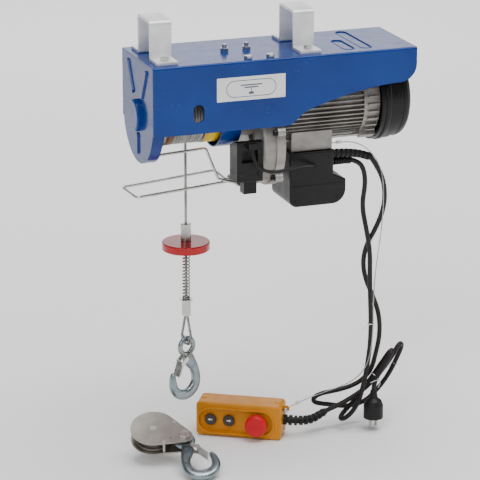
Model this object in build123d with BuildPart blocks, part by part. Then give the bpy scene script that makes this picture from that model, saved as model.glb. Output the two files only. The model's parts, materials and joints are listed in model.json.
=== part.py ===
from build123d import *
import os
from math import acos, atan2, cos, degrees, hypot, pi, radians, sin, sqrt, tan

# Electric wire rope hoist that hangs under a beam.
# Sizes are in millimetres. Places are given as x from the outside of the left end cap, y from the drum
# axis towards the back, and z from the drum axis upwards. The origin lies in the middle of the beam
# opening, halfway between the two hanger straps.

os.makedirs("parts", exist_ok=True)

# Fits
RUNNING_FIT = 0.05  # radial, shaft in a bearing or pin in a hub
SEAT_FIT = 0.2  # between fixed pieces that only lie against each other
MOVING_GAP = 0.3  # between pieces that move past each other
BOLT_FIT = 0.5  # radial, bolt in a plain hole

# Beam opening and hanger straps
BEAM_WIDTH = 60.0
BEAM_HEIGHT = 40.0
BEAM_FIT = 0.5
STRAP_X = (31.8, 295.0)
STRAP_WIDTH = 39.0
STRAP_THICK = 5.0
STRAP_BEND = 7.0
FOOT_REACH = 72.0  # from the middle to the end of a foot
FOOT_BOLT_Y = 55.0

# Housing
HOUSING_LENGTH = 490.0
HOUSING_WIDTH = 176.0
SHEET = 2.5
TOP_Z = 102.0
PANEL_LOW_Z = -20.0
FOLD_RADIUS = 4.0
BEAM_DROP = 25.0  # from the underside of the beam to the top plate
WINDOW = (82.7, 15.5)  # middle of the slot that shows the winding
WINDOW_HIGH = 32.0
WINDOW_WIDE = 20.0
WINDOW_LIP = 3.0
TROUGH_WIDE = 20.0
TROUGH_DEEP = 1.2
TROUGHS = ((372, -66, 10), (405, -66, 72))  # x and the two ends' y
BOLT_R = 4.0
CASE_BOLT_SPOTS = [(179, -70), (220, -70)]
STUD_BOLTS = [(158, -6), (199, -6)]

# Drum and rope
ROPE_R = 2.5
ROPE_X = 105.0
TURN_R = 54.5  # centre of the outer layer of rope
TURN_PITCH = 5.1
TURNS_LEFT = 13
TURNS_RIGHT = 8
DRUM_R = 30.0
DRUM_WALL = 4.0
DRUM_FLANGE_R = 62.0
DRUM_FLANGE_THICK = 3.0
DRUM_SHAFT_R = 10.0
FLANGE_LEFT_X = 31.0

# End cap and bulkhead
CAP_R = 85.3
CAP_DEPTH = 20.0
CAP_BOSS_R = 28.5
CAP_BOSS_OUT = 10.0
RIB_WIDE = 10.0
RIB_HIGH = 3.0
BULKHEAD_X = 170.0
BULKHEAD_DEPTH = 37.0
BULKHEAD_R = 68.0

# Gearbox
LAY_Y = -8.0
DRUM_GEAR_TEETH = 40
LAY_PINION_TEETH = 10
STAGE_TWO_MODULE = 2.5
CENTRE_DISTANCE = (DRUM_GEAR_TEETH + LAY_PINION_TEETH) / 2 * STAGE_TWO_MODULE
LAY_GEAR_TEETH = 89
ROTOR_PINION_TEETH = 11
STAGE_ONE_MODULE = 2 * CENTRE_DISTANCE / (LAY_GEAR_TEETH + ROTOR_PINION_TEETH)
PRESSURE_ANGLE = 20.0
PROFILE_SHIFT = 0.5  # modules, out on the pinions and in on the wheels
BACKLASH = 0.16
CASE_X = 203.0
CASE_WALL = 5.0
CASE_LOW_R = 78.0
CASE_TOP_R = 62.0
JOINT_X = 233.5
COVER_END_X = 245.0
NECK_R = 50.0
BEARING_OUT_R = 14.0
BEARING_IN_R = 6.0
BEARING_LONG = 8.0
BIG_BEARING_OUT_R = 25.0
BIG_BEARING_LONG = 12.0

# Motor
FRAME_R = 57.0
FRAME_BORE_R = 52.0
FIN_R = 66.0
FIN_COUNT = 48
FIN_THICK = 2.2
FRAME_END_X = 400.0
BELL_END_X = 430.0
FAN_COVER_R = 80.0
FAN_COVER_WALL = 2.5
ROD_R = 3.0
ROD_CIRCLE_R = 72.0
STATOR_BORE_R = 28.0
ROTOR_R = 27.4
FAN_R = 60.0
FAN_X = 438.0
FAN_LONG = 22.0

# Control box under the motor
BASE_X = (268.0, 345.0)
BASE_Y = (-50.0, 25.0)
BASE_LOW_Z = -80.0
BOX_Y = (-60.0, 32.0)
BOX_LOW_Z = -180.0
BOX_WALL = 3.0

# Limit switch and levers
PIVOT_X = 182.0
PIVOT_Z = -139.0
PIVOT_PIN_R = 2.5
WIRE_R = 2.5
HUB_R = 5.5

# Hook line
FERRULE_TOP_Z = -224.5
DISC_TOP_Z = -258.0
DISC_THICK = 15.0
DISC_R = 43.5
SPRING_LOW_Z = -368.5
SPRING_WIRE_R = 1.1
SPRING_R = 6.4
SPRING_TURNS = 17
WASHER_THICK = 2.0
SLEEVE_LONG = 29.0
HOOK_EYE_Z = -460.0
HOOK_EYE_R = 20.0
HOOK_HOLE_R = 10.0
HOOK_THICK = 14.0
EYE_THICK = 7.0
HOOK_TURN = 20.2  # degrees from -x towards -y, the way the hook's mouth faces

# Ground that the pendant, the plug and the snatch block lie on
GROUND_Z = -660.0

# Cords
CABLE_R = 4.5
LEAD_R = 3.0
SAFETY_WIRE_R = 0.9

# Frame
CAP_X = -sum(STRAP_X) / 2
AXIS_Z = -(TOP_Z + BEAM_DROP + BEAM_HEIGHT / 2)
HALF_WIDTH = HOUSING_WIDTH / 2
INNER_HALF = HALF_WIDTH - SHEET
CEILING_Z = TOP_Z - SHEET
LAY_Z = -sqrt(CENTRE_DISTANCE**2 - LAY_Y**2)


def at(x, y, z):
    """A point of the hoist as a point of the frame."""
    return Vector(CAP_X + x, y, AXIS_Z + z)


def across(x, y=0, z=0):
    """Plane across the drum axis: its own x is y, its own y is z."""
    return Plane(origin=at(x, y, z), x_dir=(0, 1, 0), z_dir=(1, 0, 0))


def facing(y, x=0, z=0):
    """Upright plane that faces the front: its own x is x, its own y is z."""
    return Plane(origin=at(x, y, z), x_dir=(1, 0, 0), z_dir=(0, -1, 0))


def level(z, x=0, y=0):
    """Level plane: its own x is x, its own y is y."""
    return Plane(origin=at(x, y, z), x_dir=(1, 0, 0), z_dir=(0, 0, 1))


def save(piece, name):
    """Label a finished piece and write it."""
    piece.part.label = name
    export_step(piece.part, f"parts/{name}.step")


# Housing and hanger


def lower_edge():
    """Outline of what is cut away below the side panels."""
    start = (245, PANEL_LOW_Z)
    corner_low = (455, 40.5)
    corner_high = (HOUSING_LENGTH, 74)
    far = (HOUSING_LENGTH + 10, PANEL_LOW_Z - 10)
    Spline(start, (272, -3), (305, 11.5), (348, 24), (396, 34), corner_low, tangents=[(1, 0.1), (1, 0.05)])
    ThreePointArc(corner_low, (480, 49), corner_high)
    Polyline(corner_high, (far[0], corner_high[1]), far, (start[0], far[1]), start)


with BuildPart() as housing:
    with BuildSketch(across(0)) as channel:
        with Locations((0, (TOP_Z + PANEL_LOW_Z) / 2)):
            Rectangle(HOUSING_WIDTH, TOP_Z - PANEL_LOW_Z)
        fillet(channel.vertices().group_by(Axis.Y)[-1], FOLD_RADIUS)
        with Locations((0, (CEILING_Z + PANEL_LOW_Z) / 2)):
            Rectangle(HOUSING_WIDTH - 2 * SHEET, CEILING_Z - PANEL_LOW_Z, mode=Mode.SUBTRACT)
    extrude(amount=HOUSING_LENGTH)
    with BuildSketch(facing(HALF_WIDTH + 1)):
        with BuildLine():
            lower_edge()
        make_face()
    extrude(amount=HOUSING_WIDTH + 2, mode=Mode.SUBTRACT)
    with BuildSketch(facing(-INNER_HALF + 2)):
        with Locations(WINDOW):
            SlotOverall(WINDOW_HIGH + 2 * WINDOW_LIP, WINDOW_WIDE + 2 * WINDOW_LIP, rotation=90)
    extrude(amount=2)
    with BuildSketch(facing(-INNER_HALF + 3)):
        with Locations(WINDOW):
            SlotOverall(WINDOW_HIGH, WINDOW_WIDE, rotation=90)
    extrude(amount=SHEET + 4, mode=Mode.SUBTRACT)
    with BuildSketch(level(CEILING_Z - 1)):
        with Locations(*[(x, side * FOOT_BOLT_Y) for x in STRAP_X for side in (-1, 1)]):
            Circle(BOLT_R + BOLT_FIT)
        with Locations(*CASE_BOLT_SPOTS, *STUD_BOLTS):
            Circle(BOLT_R + BOLT_FIT)
    extrude(amount=SHEET + 2, mode=Mode.SUBTRACT)
    for trough_x, low_y, high_y in TROUGHS:
        with BuildSketch(level(TOP_Z)):
            with Locations((trough_x, (low_y + high_y) / 2)):
                SlotOverall(high_y - low_y, TROUGH_WIDE, rotation=90)
        extrude(amount=-TROUGH_DEEP, mode=Mode.SUBTRACT)
save(housing, "housing")


with BuildPart() as hanger_straps:
    leg = BEAM_WIDTH / 2 + BEAM_FIT
    web_z = TOP_Z + BEAM_DROP + BEAM_HEIGHT + BEAM_FIT
    for strap_x in STRAP_X:
        with BuildSketch(across(strap_x - STRAP_WIDTH / 2)):
            with BuildLine():
                FilletPolyline(
                    (-FOOT_REACH, TOP_Z),
                    (-leg, TOP_Z),
                    (-leg, web_z),
                    (leg, web_z),
                    (leg, TOP_Z),
                    (FOOT_REACH, TOP_Z),
                    radius=STRAP_BEND / 2,
                )
                offset(amount=STRAP_THICK, side=Side.LEFT)
            make_face()
        extrude(amount=STRAP_WIDTH)
    with BuildSketch(level(TOP_Z - 1)):
        with Locations(*[(x, side * FOOT_BOLT_Y) for x in STRAP_X for side in (-1, 1)]):
            Circle(BOLT_R + BOLT_FIT)
    extrude(amount=STRAP_THICK + 2, mode=Mode.SUBTRACT)
save(hanger_straps, "hanger_straps")

HEAD_R = 7.5
HEAD_HIGH = 5.3
NUT_HIGH = 6.5
UPRIGHT_BOLTS = [(x, side * FOOT_BOLT_Y, TOP_Z + STRAP_THICK) for x in STRAP_X for side in (-1, 1)]
CASE_BOLTS = [(x, y, TOP_Z) for x, y in CASE_BOLT_SPOTS]
STRAP_BOLT_LONG = STRAP_THICK + SHEET + NUT_HIGH + 3
CASE_BOLT_LONG = 18.0
PAD_THICK = 12.0
FLANGE_THICK = 3.0


def stud_low(x):
    """Underside of what a stud bolt clamps: the bulkhead flange or the gearbox pad."""
    return CEILING_Z - (FLANGE_THICK if x < BULKHEAD_X else PAD_THICK) - SEAT_FIT


with BuildPart() as hex_bolts:
    for x, y, z in UPRIGHT_BOLTS + CASE_BOLTS:
        with BuildSketch(level(z, x, y)):
            RegularPolygon(HEAD_R, 6)
        extrude(amount=HEAD_HIGH)
        with BuildSketch(level(z, x, y)):
            Circle(BOLT_R)
        extrude(amount=-(STRAP_BOLT_LONG if z > TOP_Z else CASE_BOLT_LONG))
    for x, y in STUD_BOLTS:
        low = stud_low(x)
        with BuildSketch(level(low, x, y)):
            RegularPolygon(HEAD_R, 6)
        extrude(amount=-HEAD_HIGH)
        with BuildSketch(level(low, x, y)):
            Circle(BOLT_R)
        extrude(amount=TOP_Z + NUT_HIGH + 7 - low)
save(hex_bolts, "hex_bolts")

with BuildPart() as hex_nuts:
    for x, y, z in [(x, y, CEILING_Z - NUT_HIGH) for x, y, _ in UPRIGHT_BOLTS] + [
        (x, y, TOP_Z) for x, y in STUD_BOLTS
    ]:
        with BuildSketch(level(z, x, y)):
            RegularPolygon(HEAD_R, 6)
            Circle(BOLT_R + RUNNING_FIT, mode=Mode.SUBTRACT)
        extrude(amount=NUT_HIGH)
save(hex_nuts, "hex_nuts")


def tongue(radius, half_width, top):
    """Plate outline: square at the top, round about the drum axis below."""
    Circle(radius)
    with Locations((0, top / 2)):
        Rectangle(2 * half_width, top)


with BuildPart() as end_cap:
    cap_top = CEILING_Z - SEAT_FIT
    with BuildSketch(across(0)):
        tongue(CAP_R, CAP_R, cap_top)
    extrude(amount=CAP_DEPTH)
    with BuildSketch(across(SHEET)):
        tongue(CAP_R - SHEET, CAP_R - SHEET, cap_top - SHEET)
    extrude(amount=CAP_DEPTH, mode=Mode.SUBTRACT)
    with BuildSketch(across(-CAP_BOSS_OUT)):
        Circle(CAP_BOSS_R)
    extrude(amount=CAP_BOSS_OUT + 6)
    fillet(end_cap.faces().sort_by(Axis.X)[0].edges(), 3)
    with BuildSketch(across(-CAP_BOSS_OUT + SHEET)):
        Circle(BIG_BEARING_OUT_R)
    extrude(amount=CAP_BOSS_OUT + 10, mode=Mode.SUBTRACT)
    for start, end in (((26, 38), (52, 86)), ((-26, 38), (-52, 86)), ((0, -36), (0, -66))):
        lean = degrees(atan2(end[1] - start[1], end[0] - start[0]))
        with BuildSketch(across(0)):
            with Locations(((start[0] + end[0]) / 2, (start[1] + end[1]) / 2)):
                SlotCenterToCenter(hypot(end[0] - start[0], end[1] - start[1]), RIB_WIDE, rotation=lean)
        extrude(amount=-RIB_HIGH, taper=25)
save(end_cap, "end_cap")

with BuildPart() as bulkhead:
    bulk_left = BULKHEAD_X - BULKHEAD_DEPTH
    bulk_top = CEILING_Z - SEAT_FIT
    with BuildSketch(across(bulk_left)):
        tongue(BULKHEAD_R, BULKHEAD_R, bulk_top)
    extrude(amount=BULKHEAD_DEPTH)
    with BuildSketch(across(bulk_left)):
        tongue(BULKHEAD_R - SHEET, BULKHEAD_R - SHEET, bulk_top - FLANGE_THICK)
    extrude(amount=BULKHEAD_DEPTH - SHEET, mode=Mode.SUBTRACT)
    with BuildSketch(across(bulk_left)):
        Circle(NECK_R - 8)
    extrude(amount=BULKHEAD_DEPTH, mode=Mode.SUBTRACT)
    with BuildSketch(level(bulk_top - 10)):
        with Locations((158, -6)):
            Circle(BOLT_R + BOLT_FIT)
    extrude(amount=20, mode=Mode.SUBTRACT)
save(bulkhead, "bulkhead")

# Gear train


def involute(angle):
    return tan(angle) - angle


def gear_outline(teeth, module, shift, first_tooth):
    """Points of an involute gear with one tooth centred on the angle first_tooth, in radians."""
    pitch_r = teeth * module / 2
    base_r = pitch_r * cos(radians(PRESSURE_ANGLE))
    tip_r = pitch_r + (1 + shift) * module - 0.1 * module
    root_r = pitch_r - (1.25 - shift) * module
    tooth = module * (pi / 2 + 2 * shift * tan(radians(PRESSURE_ANGLE))) - BACKLASH / 2
    half_at_base = tooth / (2 * pitch_r) + involute(radians(PRESSURE_ANGLE))
    low_r = max(base_r, root_r)
    steps = 4
    flank = [(root_r, half_at_base)] if root_r < base_r else []
    for step in range(steps + 1):
        r = low_r + (tip_r - low_r) * step / steps
        flank.append((r, half_at_base - involute(acos(min(1, base_r / r)))))
    points = []
    for index in range(teeth):
        middle = first_tooth + index * 2 * pi / teeth
        for r, half in flank:
            points.append((r * cos(middle - half), r * sin(middle - half)))
        for r, half in reversed(flank):
            points.append((r * cos(middle + half), r * sin(middle + half)))
    return points


LAY_ANGLE = atan2(LAY_Z, LAY_Y)
DRUM_GEAR_X = 211.0
DRUM_GEAR_WIDE = 15.0
LAY_GEAR_X = 228.5
LAY_GEAR_WIDE = 6.0


def wheel(plane, teeth, module, shift, first_tooth, width):
    """A gear blank with teeth, built into the part that is open."""
    with BuildSketch(plane) as profile:
        with BuildLine():
            Polyline(*gear_outline(teeth, module, shift, first_tooth), close=True)
        make_face()
    extrude(profile.sketch, amount=width)


with BuildPart() as drum_gear:
    wheel(across(DRUM_GEAR_X), DRUM_GEAR_TEETH, STAGE_TWO_MODULE, -PROFILE_SHIFT, LAY_ANGLE, DRUM_GEAR_WIDE)
    with BuildSketch(across(DRUM_GEAR_X)):
        Circle(DRUM_SHAFT_R)
    extrude(amount=DRUM_GEAR_WIDE, mode=Mode.SUBTRACT)
save(drum_gear, "drum_gear")

LAY_SHAFT_R = BEARING_IN_R - RUNNING_FIT
LAY_BEARING_X = (CASE_X - 2, 236.5)

with BuildPart() as layshaft:
    with BuildSketch(across(LAY_BEARING_X[0], LAY_Y, LAY_Z)):
        Circle(LAY_SHAFT_R)
    extrude(amount=LAY_BEARING_X[1] + BEARING_LONG - 0.5 - LAY_BEARING_X[0])
    wheel(
        across(DRUM_GEAR_X, LAY_Y, LAY_Z),
        LAY_PINION_TEETH,
        STAGE_TWO_MODULE,
        PROFILE_SHIFT,
        LAY_ANGLE + pi + pi / LAY_PINION_TEETH,
        LAY_GEAR_X - DRUM_GEAR_X,
    )
save(layshaft, "layshaft")

with BuildPart() as layshaft_gear:
    wheel(
        across(LAY_GEAR_X, LAY_Y, LAY_Z),
        LAY_GEAR_TEETH,
        STAGE_ONE_MODULE,
        -PROFILE_SHIFT,
        LAY_ANGLE + pi + pi / LAY_GEAR_TEETH,
        LAY_GEAR_WIDE,
    )
    with BuildSketch(across(LAY_GEAR_X, LAY_Y, LAY_Z)):
        Circle(LAY_SHAFT_R)
        with PolarLocations(33, 5):
            Circle(9)
    extrude(amount=LAY_GEAR_WIDE, mode=Mode.SUBTRACT)
save(layshaft_gear, "layshaft_gear")

# Drum with its rope

FLANGE_RIGHT_X = ROPE_X + (TURNS_RIGHT + 0.5) * TURN_PITCH + MOVING_GAP
BIG_BEARING_X = (-CAP_BOSS_OUT + SHEET, 178.0)

with BuildPart() as drum:
    with BuildSketch(across(BIG_BEARING_X[0] + 1)):
        Circle(DRUM_SHAFT_R)
    extrude(amount=DRUM_GEAR_X + DRUM_GEAR_WIDE - BIG_BEARING_X[0] - 1)
    with BuildSketch(across(FLANGE_LEFT_X)):
        Circle(DRUM_R)
    extrude(amount=FLANGE_RIGHT_X + DRUM_FLANGE_THICK - FLANGE_LEFT_X)
    for flange_x in (FLANGE_LEFT_X, FLANGE_RIGHT_X):
        with BuildSketch(across(flange_x)):
            Circle(DRUM_FLANGE_R)
        extrude(amount=DRUM_FLANGE_THICK)
    with BuildSketch(across(FLANGE_LEFT_X)):
        Circle(DRUM_R - DRUM_WALL)
        Circle(DRUM_SHAFT_R + 5, mode=Mode.SUBTRACT)
    extrude(amount=FLANGE_RIGHT_X - FLANGE_LEFT_X - 10, mode=Mode.SUBTRACT)
save(drum, "drum")

with BuildPart() as wound_rope:
    core_r = TURN_R - ROPE_R - MOVING_GAP
    left_x = FLANGE_LEFT_X + DRUM_FLANGE_THICK
    with BuildSketch(across(left_x)):
        Circle(core_r)
        Circle(DRUM_R, mode=Mode.SUBTRACT)
    extrude(amount=FLANGE_RIGHT_X - left_x)
    turns = [ROPE_X + k * TURN_PITCH for k in range(-TURNS_LEFT, TURNS_RIGHT + 1) if k]
    with BuildSketch(facing(0)):
        with Locations(*[(x, TURN_R) for x in turns]):
            Circle(ROPE_R)
        with Locations(*[(x, (TURN_R + core_r - 1) / 2) for x in turns]):
            Rectangle(2 * ROPE_R - 0.6, TURN_R - core_r + 1)
    revolve(axis=Axis(at(0, 0, 0), (1, 0, 0)))
save(wound_rope, "wound_rope")


def ring(x, y, z, outer, inner, long):
    """A plain bearing ring on an axis along x, built into the part that is open."""
    with BuildSketch(across(x, y, z)) as profile:
        Circle(outer)
        Circle(inner, mode=Mode.SUBTRACT)
    extrude(profile.sketch, amount=long)


with BuildPart() as drum_bearings:
    for x in BIG_BEARING_X:
        ring(x, 0, 0, BIG_BEARING_OUT_R, DRUM_SHAFT_R + RUNNING_FIT, BIG_BEARING_LONG)
save(drum_bearings, "drum_bearings")

ROTOR_BEARING_X = (241.0, 414.0)

with BuildPart() as ball_bearings:
    for x in LAY_BEARING_X:
        ring(x, LAY_Y, LAY_Z, BEARING_OUT_R, BEARING_IN_R, BEARING_LONG)
    for x in ROTOR_BEARING_X:
        ring(x, 0, 0, BEARING_OUT_R, BEARING_IN_R, BEARING_LONG)
save(ball_bearings, "ball_bearings")

# Gearbox castings


def pear(top_r, low_r):
    """Outline round both gear axes."""
    Circle(top_r)
    with Locations((LAY_Y, LAY_Z)):
        Circle(low_r)
    make_hull()


LUGS = [(-87, -31), (-75, -116), (59, -116), (72, -26), (-42, 57), (42, 57)]
LUG_R = 8.0
SCREW_R = 2.5
SCREW_LONG = 11.5
PAD_X = (BULKHEAD_X + 2, JOINT_X)

with BuildPart() as gearbox_case:
    with BuildSketch(across(CASE_X)):
        pear(CASE_TOP_R, CASE_LOW_R)
    extrude(amount=JOINT_X - CASE_X)
    fillet(gearbox_case.faces().sort_by(Axis.X)[0].edges(), 6)
    with BuildSketch(across(JOINT_X - 7)):
        pear(CASE_TOP_R + 4, CASE_LOW_R + 4)
        with Locations(*LUGS):
            Circle(LUG_R)
    extrude(amount=7)
    with BuildSketch(across(BULKHEAD_X)):
        Circle(NECK_R)
    extrude(amount=CASE_X - BULKHEAD_X, taper=-8)
    with BuildSketch(level(CEILING_Z - SEAT_FIT)):
        with Locations(((PAD_X[0] + PAD_X[1]) / 2, -35)):
            Rectangle(PAD_X[1] - PAD_X[0], 96)
    extrude(amount=-PAD_THICK)
    with BuildSketch(level(CEILING_Z - SEAT_FIT - PAD_THICK)):
        with Locations(((CASE_X + JOINT_X) / 2 + 2, 0)):
            Rectangle(JOINT_X - CASE_X - 4, 40)
    extrude(amount=-50)
    with BuildSketch(across(CASE_X + CASE_WALL)):
        pear(CASE_TOP_R - CASE_WALL, CASE_LOW_R - CASE_WALL)
    extrude(amount=JOINT_X - CASE_X, mode=Mode.SUBTRACT)
    with BuildSketch(across(BULKHEAD_X)):
        Circle(NECK_R - 8)
        Circle(BIG_BEARING_OUT_R + 5, mode=Mode.SUBTRACT)
    extrude(amount=CASE_X - BULKHEAD_X - 4, mode=Mode.SUBTRACT)
    with BuildSketch(across(BULKHEAD_X)):
        Circle(BIG_BEARING_OUT_R)
    extrude(amount=BIG_BEARING_X[1] + BIG_BEARING_LONG - BULKHEAD_X, mode=Mode.SUBTRACT)
    with BuildSketch(across(BULKHEAD_X)):
        Circle(DRUM_SHAFT_R + 2)
    extrude(amount=CASE_X + 10 - BULKHEAD_X, mode=Mode.SUBTRACT)
    with BuildSketch(across(CASE_X - 6, LAY_Y, LAY_Z)):
        Circle(BEARING_OUT_R + 5)
    extrude(amount=8)
    with BuildSketch(across(LAY_BEARING_X[0], LAY_Y, LAY_Z)):
        Circle(BEARING_OUT_R)
    extrude(amount=20, mode=Mode.SUBTRACT)
    with BuildSketch(across(JOINT_X - 12)):
        with Locations(*LUGS):
            Circle(SCREW_R + BOLT_FIT)
    extrude(amount=12, mode=Mode.SUBTRACT)
    with BuildSketch(level(CEILING_Z - PAD_THICK - 1)):
        with Locations((179, -70), (220, -70), (199, -6)):
            Circle(BOLT_R + RUNNING_FIT)
    extrude(amount=PAD_THICK + 1, mode=Mode.SUBTRACT)
    with BuildSketch(level(CEILING_Z - PAD_THICK - SEAT_FIT)):
        with Locations((199, -6)):
            Circle(HEAD_R + 1)
    extrude(amount=-16, mode=Mode.SUBTRACT)
save(gearbox_case, "gearbox_case")

with BuildPart() as gearbox_cover:
    with BuildSketch(across(JOINT_X)):
        pear(CASE_TOP_R + 4, CASE_LOW_R + 4)
        with Locations(*LUGS):
            Circle(LUG_R)
    extrude(amount=7)
    with BuildSketch(across(JOINT_X + 7)):
        pear(CASE_TOP_R, CASE_LOW_R)
    extrude(amount=COVER_END_X - JOINT_X - 7)
    fillet(gearbox_cover.faces().sort_by(Axis.X)[-1].edges(), 2)
    with BuildSketch(across(JOINT_X)):
        pear(CASE_TOP_R - CASE_WALL, CASE_LOW_R - CASE_WALL)
    extrude(amount=COVER_END_X - CASE_WALL - JOINT_X - 1.5, mode=Mode.SUBTRACT)
    with BuildSketch(across(COVER_END_X - 1)):
        Circle(FRAME_BORE_R - SEAT_FIT)
        Circle(FRAME_BORE_R - 6, mode=Mode.SUBTRACT)
    extrude(amount=9)
    with BuildSketch(across(COVER_END_X - 6)):
        Circle(BEARING_OUT_R + 5)
    extrude(amount=10)
    with BuildSketch(across(COVER_END_X - 6, LAY_Y, LAY_Z)):
        Circle(BEARING_OUT_R + 5)
    extrude(amount=6)
    with BuildSketch(across(ROTOR_BEARING_X[0])):
        Circle(BEARING_OUT_R)
    extrude(amount=20, mode=Mode.SUBTRACT)
    with BuildSketch(across(JOINT_X + 1)):
        Circle(BEARING_IN_R + 3)
    extrude(amount=20, mode=Mode.SUBTRACT)
    with BuildSketch(across(JOINT_X + 1, LAY_Y, LAY_Z)):
        Circle(BEARING_OUT_R)
    extrude(amount=LAY_BEARING_X[1] + BEARING_LONG - JOINT_X - 1, mode=Mode.SUBTRACT)
    with BuildSketch(across(JOINT_X)):
        with Locations(*LUGS):
            Circle(SCREW_R)
    extrude(amount=8, mode=Mode.SUBTRACT)
    with BuildSketch(across(COVER_END_X - 8)):
        with PolarLocations(ROD_CIRCLE_R, 4, start_angle=58):
            Circle(7)
    extrude(amount=8)
save(gearbox_cover, "gearbox_cover")

with BuildPart() as gearbox_screws:
    for y, z in LUGS:
        with BuildSketch(across(JOINT_X - 7, y, z)):
            Circle(5)
            RegularPolygon(2.4, 6, mode=Mode.SUBTRACT)
        extrude(amount=-6)
        with BuildSketch(across(JOINT_X - 8.5, y, z)):
            Circle(SCREW_R)
        extrude(amount=SCREW_LONG)
save(gearbox_screws, "gearbox_screws")

# Motor

with BuildPart() as motor_frame:
    with BuildSketch(across(COVER_END_X)):
        Circle(FRAME_R)
        with PolarLocations((FRAME_R + FIN_R) / 2 - 1, FIN_COUNT):
            Rectangle(FIN_R - FRAME_R + 2, FIN_THICK)
    extrude(amount=FRAME_END_X - COVER_END_X)
    with BuildSketch(level(BASE_LOW_Z)):
        with Locations(((BASE_X[0] + BASE_X[1]) / 2, (BASE_Y[0] + BASE_Y[1]) / 2)):
            Rectangle(BASE_X[1] - BASE_X[0], BASE_Y[1] - BASE_Y[0])
    extrude(amount=-BASE_LOW_Z - 45)
    with BuildSketch(across(COVER_END_X)):
        Circle(FRAME_BORE_R)
    extrude(amount=FRAME_END_X - COVER_END_X, mode=Mode.SUBTRACT)
    with BuildSketch(across(COVER_END_X)):
        with PolarLocations(ROD_CIRCLE_R, 4, start_angle=58):
            Circle(ROD_R + 1)
    extrude(amount=FRAME_END_X - COVER_END_X, mode=Mode.SUBTRACT)
save(motor_frame, "motor_frame")

with BuildPart() as stator:
    ring(278, 0, 0, FRAME_BORE_R, STATOR_BORE_R, 92)
    ring(266, 0, 0, FRAME_BORE_R - 5, STATOR_BORE_R + 3, 116)
save(stator, "stator")

with BuildPart() as rotor:
    with BuildSketch(across(JOINT_X + 5)):
        Circle(BEARING_IN_R - RUNNING_FIT)
    extrude(amount=FAN_X + FAN_LONG + 2 - JOINT_X - 5)
    with BuildSketch(across(278)):
        Circle(ROTOR_R)
    extrude(amount=92)
    wheel(
        across(LAY_GEAR_X - 1),
        ROTOR_PINION_TEETH,
        STAGE_ONE_MODULE,
        PROFILE_SHIFT,
        LAY_ANGLE,
        JOINT_X + 5.5 - LAY_GEAR_X + 1,
    )
save(rotor, "rotor")

with BuildPart() as rear_end_bell:
    with BuildSketch(across(FRAME_END_X)):
        Circle(FIN_R + 1)
        with PolarLocations(ROD_CIRCLE_R - 4, 4, start_angle=58):
            Rectangle(18, 14)
    extrude(amount=BELL_END_X - FRAME_END_X)
    with BuildSketch(across(FRAME_END_X + 6)):
        with PolarLocations(FIN_R + 3, 32):
            Rectangle(8, 3)
    extrude(amount=BELL_END_X - FRAME_END_X - 10)
    with BuildSketch(across(FRAME_END_X - 6)):
        Circle(FRAME_BORE_R - SEAT_FIT)
    extrude(amount=7)
    with BuildSketch(across(FRAME_END_X - 6)):
        Circle(FRAME_BORE_R - 6)
    extrude(amount=26, mode=Mode.SUBTRACT)
    with BuildSketch(across(ROTOR_BEARING_X[1] - 4)):
        Circle(BEARING_OUT_R + 5)
    extrude(amount=BELL_END_X - ROTOR_BEARING_X[1] + 2)
    with BuildSketch(across(ROTOR_BEARING_X[1] - 6)):
        Circle(BEARING_OUT_R)
    extrude(amount=6 + BEARING_LONG, mode=Mode.SUBTRACT)
    with BuildSketch(across(ROTOR_BEARING_X[1])):
        Circle(BEARING_IN_R + 2)
    extrude(amount=30, mode=Mode.SUBTRACT)
    with BuildSketch(across(FRAME_END_X)):
        with PolarLocations(ROD_CIRCLE_R, 4, start_angle=58):
            Circle(ROD_R + RUNNING_FIT)
    extrude(amount=BELL_END_X - FRAME_END_X, mode=Mode.SUBTRACT)
save(rear_end_bell, "rear_end_bell")

with BuildPart() as tie_rods:
    with BuildSketch(across(COVER_END_X)):
        with PolarLocations(ROD_CIRCLE_R, 4, start_angle=58):
            Circle(ROD_R)
    extrude(amount=BELL_END_X - COVER_END_X)
save(tie_rods, "tie_rods")

FAN_COVER_END_X = HOUSING_LENGTH - 2

with BuildPart() as fan_cover:
    with BuildSketch(across(BELL_END_X)):
        Circle(FAN_COVER_R)
    extrude(amount=30)
    with BuildSketch(across(BELL_END_X + 30)):
        Circle(FAN_COVER_R - 3)
    extrude(amount=FAN_COVER_END_X - BELL_END_X - 30)
    fillet(fan_cover.faces().sort_by(Axis.X)[-1].edges(), 12)
    with BuildSketch(across(BELL_END_X)):
        Circle(FAN_COVER_R - 3 - FAN_COVER_WALL)
    extrude(amount=FAN_COVER_END_X - BELL_END_X - 12, mode=Mode.SUBTRACT)
    with BuildSketch(across(BELL_END_X)):
        Circle(FAN_COVER_R - 15)
    extrude(amount=FAN_COVER_END_X - BELL_END_X - FAN_COVER_WALL, mode=Mode.SUBTRACT)
    with BuildSketch(across(FAN_COVER_END_X - 5)):
        for grille_r in (22, 34, 46, 58):
            with PolarLocations(grille_r, int(grille_r / 2)):
                Circle(3.4)
    extrude(amount=8, mode=Mode.SUBTRACT)
save(fan_cover, "fan_cover")

with BuildPart() as cooling_fan:
    with BuildSketch(across(FAN_X)):
        Circle(13)
    extrude(amount=FAN_LONG)
    with BuildSketch(across(FAN_X)):
        Circle(FAN_R)
    extrude(amount=3)
    with BuildSketch(across(FAN_X)):
        with PolarLocations((FAN_R + 12) / 2, 9):
            Rectangle(FAN_R - 12, 2.5)
    extrude(amount=FAN_LONG)
    with BuildSketch(across(FAN_X)):
        Circle(BEARING_IN_R - RUNNING_FIT)
    extrude(amount=FAN_LONG, mode=Mode.SUBTRACT)
save(cooling_fan, "cooling_fan")

# Control box

BOX_OUTLINE = [(262, BASE_LOW_Z), (345, BASE_LOW_Z), (345, -124), (369, -136), (369, BOX_LOW_Z), (262, BOX_LOW_Z)]

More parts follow.
